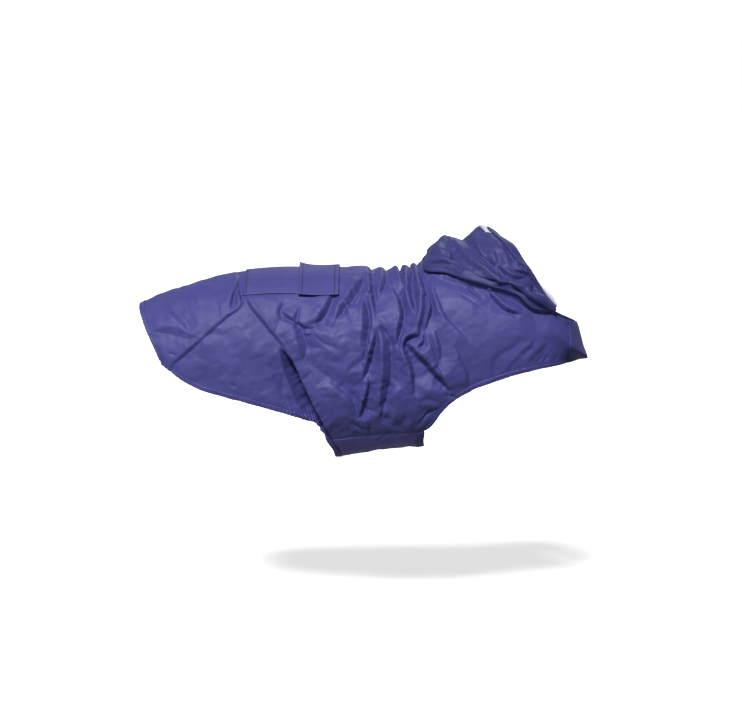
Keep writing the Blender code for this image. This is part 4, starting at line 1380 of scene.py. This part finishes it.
# ---------------------------------------------------------------- topstitching

STITCH = 3.0
STITCH_GAP = 0.9
STITCH_RADIUS = 0.22
STITCH_SIDES = 5
# Rings of one stitch: place as a share of its length, radius and height as shares of its radius.
STITCH_RINGS = ((-0.5, 0.35, -0.6), (-0.32, 1.0, 0.35), (0.32, 1.0, 0.35), (0.5, 0.35, -0.6))
DART = ((-293, -62), (-312, -75), (-350, -110), (-396, -149))
DART_PARTS = 12
NEAR_POINTS = 4
NEAR_SOFTNESS = 0.3
THROAT_CLEAR = 3.0  # degrees from the hood's ends to the stitched neck edge
# Cells from the edge of each piece to its line of stitches, and what the lines leave at their ends.
HEM_SEAM = HEM_CELLS - 1
TAIL_ENDS = 3
BELLY_SEAM = 1
POCKET_REAR_SEAM = 2
POCKET_SIDE_SEAM = 3
FLAP_SEAM = 3
FLAP_ENDS = 4
CASING_SEAM = 1
OVERLAP_SEAM = 3
NECK_SEAM = 2


def stitches(line, up, lift):
    """Vertices of stitches sewn along a line of points with these normals, ring by ring."""
    lengths = travelled(line)
    centres = np.arange((STITCH + STITCH_GAP) / 2, lengths[-1], STITCH + STITCH_GAP)
    places = [np.clip(centres + ring[0] * STITCH, 0, lengths[-1]) for ring in STITCH_RINGS]
    spots = [sampled(line, lengths, at) for at in places]
    normal = unit(sampled(up, lengths, places[1]))
    aside = np.cross(unit(spots[-1] - spots[0]), normal)
    turns = (np.arange(STITCH_SIDES) * 2 * math.pi / STITCH_SIDES)[:, None]
    circle = (np.cos(turns) * aside[:, None] + np.sin(turns) * normal[:, None]) * STITCH_RADIUS
    rings = [
        (spot + normal * (lift + height * STITCH_RADIUS))[:, None] + circle * radius
        for spot, (_, radius, height) in zip(spots, STITCH_RINGS)
    ]
    return np.stack(rings, axis=1).reshape(-1, 3)


def stitch_faces():
    """Faces of one stitch: its sides between the rings, and its two ends."""
    faces = []
    for start in range(0, (len(STITCH_RINGS) - 1) * STITCH_SIDES, STITCH_SIDES):
        for side in range(STITCH_SIDES):
            a, b = start + side, start + (side + 1) % STITCH_SIDES
            faces.append((a, b, b + STITCH_SIDES, a + STITCH_SIDES))
    far_end = (len(STITCH_RINGS) - 1) * STITCH_SIDES
    return [*faces, tuple(reversed(range(STITCH_SIDES))), tuple(range(far_end, far_end + STITCH_SIDES))]


def sew(name, lines):
    """One object of all stitches along (points, normals, lift) lines."""
    vertices = np.concatenate([stitches(line, up, lift) for line, up, lift in lines])
    starts = np.arange(0, len(vertices), len(STITCH_RINGS) * STITCH_SIDES).tolist()
    shapes = stitch_faces()
    faces = [tuple(start + corner for corner in shape) for start in starts for shape in shapes]
    mesh = bpy.data.meshes.new(name)
    mesh.from_pydata((vertices * MM).tolist(), [], faces)
    mesh.materials.append(thread)
    mesh.shade_smooth()
    return new_object(name, mesh)


def on_side(path, side):
    """Points and normals of the coat along a side-view path; side is -1 on the right, 1 on the left."""
    chosen = coat[..., 1] * side > 0
    flat, up = coat[chosen], normals[chosen]
    tree = tree_of(side_place(flat * MIRROR if side > 0 else flat))
    found = []
    for along, above in smooth_path(path, DART_PARTS):
        _, nearest, distances = zip(*tree.find_n((along, above, 0.0), NEAR_POINTS))
        weight = 1 / (np.array(distances) + NEAR_SOFTNESS)
        found.append([weight @ data[list(nearest)] / weight.sum() for data in (flat, up)])
    return np.array(found).swapaxes(0, 1)


def seam(grid, up, wall, place):
    """A line to sew along on a grid, on top of cloth with this wall."""
    return grid[place], up[place], wall


# The tail's line lies just past the turned hem's cells, with the normals of two rows nearer the edge.
tail = slice(TAIL_ENDS, -TAIL_ENDS)
lap_row = int((stations < lapped).sum())
lines = [
    (hem_grid[HEM_SEAM + 1, tail], normals[HEM_SEAM - 1, tail], HEM_SHOWN),
    seam(hem_grid, normals, HEM_SHOWN, np.s_[: rear_row + 1, HEM_SEAM]),
    seam(hem_grid, normals, HEM_SHOWN, np.s_[: rear_row + 1, last - HEM_SEAM]),
    seam(hem_grid, normals, HEM_SHOWN, np.s_[front_row:lap_row, HEM_SEAM]),
    seam(hem_grid, normals, HEM_SHOWN, np.s_[front_row: corner_row + 1, last - HEM_SEAM]),
    seam(belly_hem_grid, belly_normals, HEM_SHOWN, belly_hem_rows - 1),
    seam(belly_hem_grid, belly_normals, HEM_SHOWN, BELLY_ROWS + 1 - belly_hem_rows),
    seam(coat, normals, WALL, np.s_[rear_row: front_row + 1, BELLY_SEAM]),
    seam(coat, normals, WALL, np.s_[rear_row: front_row + 1, last - BELLY_SEAM]),
    (*on_side(DART, -1), WALL),
    (*on_side(DART, 1), WALL),
    seam(pocket, pocket_normals, POCKET_SHOWN, POCKET_REAR_SEAM),
    seam(pocket, pocket_normals, POCKET_SHOWN, np.s_[:, POCKET_SIDE_SEAM]),
    seam(pocket, pocket_normals, POCKET_SHOWN, np.s_[:, -1 - POCKET_SIDE_SEAM]),
    seam(flap, flap_normals, FLAP_SHOWN, np.s_[FLAP_SEAM, FLAP_ENDS:-FLAP_ENDS]),
    seam(flap, flap_normals, FLAP_SHOWN, np.s_[-1 - FLAP_SEAM, FLAP_ENDS:-FLAP_ENDS]),
    seam(casing, casing_normals, CASING_SHOWN, np.s_[:, CASING_SEAM]),
    seam(overlap, overlap_normals, OVERLAP_SHOWN, np.s_[:, -1 - OVERLAP_SEAM]),
]
throat = np.abs(np.degrees(angles[-1])) > HOOD_END + THROAT_CLEAR
for half in (angles[-1] < 0, angles[-1] > 0):
    lines.append(seam(coat, normals, WALL, (-1 - NECK_SEAM, np.flatnonzero(throat & half))))
topstitching = sew("topstitching", lines)


# ---------------------------------------------------------------- pieces and the frame


def settle(piece, node):
    """Ties a piece to the frame, and hides the CAD part of the node it stands for."""
    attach(piece, "root")
    if node:
        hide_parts(node)


settle(main_panel, "main_panel")
settle(belly_panel, "belly_panel")
settle(front_overlap, "front_overlap")
settle(hood_cloth, "hood")
settle(hood_casing, "hood_casing")
settle(hood_lining, "hood_lining")
settle(reflective_strip, "reflective_strip")
settle(pocket_cloth, "pocket")
settle(pocket_flap, "pocket_flap")
for name, piece in hems.items():
    settle(piece, name)
settle(topstitching, None)


# ---------------------------------------------------------------- floor, light and camera

FLOOR = -0.566
FLOOR_REACH = 60.0
FLOOR_WHITE = 0.92
FLOOR_GLOW = 0.5
WHITE = (1.0, 1.0, 1.0, 1.0)
KEY_FROM = (-0.26, -1.0, 1.0)
KEY_STRENGTH = 4.4
KEY_ANGLE = 14.0
RIM_FROM = (0.4, 1.6, 1.1)
RIM_STRENGTH = 0.5
RIM_ANGLE = 30.0
SKY = 0.24  # brightness of the studio above and below the object, and where it turns
BELOW = 0.42
SKY_TURN = (-0.35, 0.25)
SIDE_LEFT = 1.1  # and its shares behind the tail and ahead of the head
SIDE_RIGHT = 0.45
SIDE_TURN = 0.8
CLIP_END = 50.0


def make_floor():
    """A pale floor that reaches far past the view, and lights nothing."""
    mesh = bpy.data.meshes.new("floor")
    corners = [(x * FLOOR_REACH, y * FLOOR_REACH, FLOOR) for x, y in ((-1, -1), (1, -1), (1, 1), (-1, 1))]
    mesh.from_pydata(corners, [], [(0, 1, 2, 3)])
    finish, _, shader = new_material("floor_white")
    shader.inputs["Base Color"].default_value = (FLOOR_WHITE, FLOOR_WHITE, FLOOR_WHITE, 1.0)
    shader.inputs["Roughness"].default_value = 1.0
    shader.inputs["Emission Color"].default_value = WHITE
    shader.inputs["Emission Strength"].default_value = FLOOR_GLOW
    mesh.materials.append(finish)
    made = new_object("floor", mesh)
    made.visible_diffuse = False
    made.visible_glossy = False


def sun_light(name, direction, strength, angle):
    """Soft parallel light from a direction."""
    data = bpy.data.lights.new(name, "SUN")
    data.energy = strength
    data.angle = math.radians(angle)
    new_object(name, data).rotation_euler = (-Vector(direction)).to_track_quat("-Z", "Y").to_euler()


def make_world():
    """A white studio: bright above, dim below, and plain white where the camera sees it."""
    world = bpy.data.worlds.new("studio")
    world.use_nodes = True
    tree = world.node_tree
    tree.nodes.clear()
    place = add(tree, "ShaderNodeTexCoord").outputs["Generated"]
    ahead, _, above = add(tree, "ShaderNodeSeparateXYZ", {"Vector": place}).outputs
    level = remap(tree, above, *SKY_TURN, BELOW, SKY)
    side = remap(tree, ahead, -SIDE_TURN, SIDE_TURN, SIDE_LEFT, SIDE_RIGHT)
    strength = calc(tree, "MULTIPLY", level, side)
    lighting = add(tree, "ShaderNodeBackground", {"Color": WHITE, "Strength": strength})
    seen = add(tree, "ShaderNodeBackground", {"Color": WHITE})
    mix = add(tree, "ShaderNodeMixShader", {
        "Fac": add(tree, "ShaderNodeLightPath").outputs["Is Camera Ray"],
        1: lighting.outputs["Background"], 2: seen.outputs["Background"],
    })
    add(tree, "ShaderNodeOutputWorld", {"Surface": mix.outputs["Shader"]})
    bpy.context.scene.world = world


def make_camera():
    """The photo's long view from the coat's right, slightly from above."""
    data = bpy.data.cameras.new("camera")
    data.sensor_width = SENSOR
    data.lens = SENSOR * VIEW_DISTANCE / (FRAME_WIDTH * MM_PER_PIXEL)
    data.clip_end = CLIP_END
    made = new_object("camera", data)
    made.location = Vector((VIEW_CENTRE - VIEW_AHEAD * VIEW_DISTANCE) * MM)
    made.rotation_euler = Vector(VIEW_AHEAD).to_track_quat("-Z", "Y").to_euler()
    bpy.context.scene.camera = made


make_floor()
sun_light("key", KEY_FROM, KEY_STRENGTH, KEY_ANGLE)
sun_light("rim", RIM_FROM, RIM_STRENGTH, RIM_ANGLE)
make_world()
make_camera()
bpy.context.scene.view_settings.view_transform = "Standard"
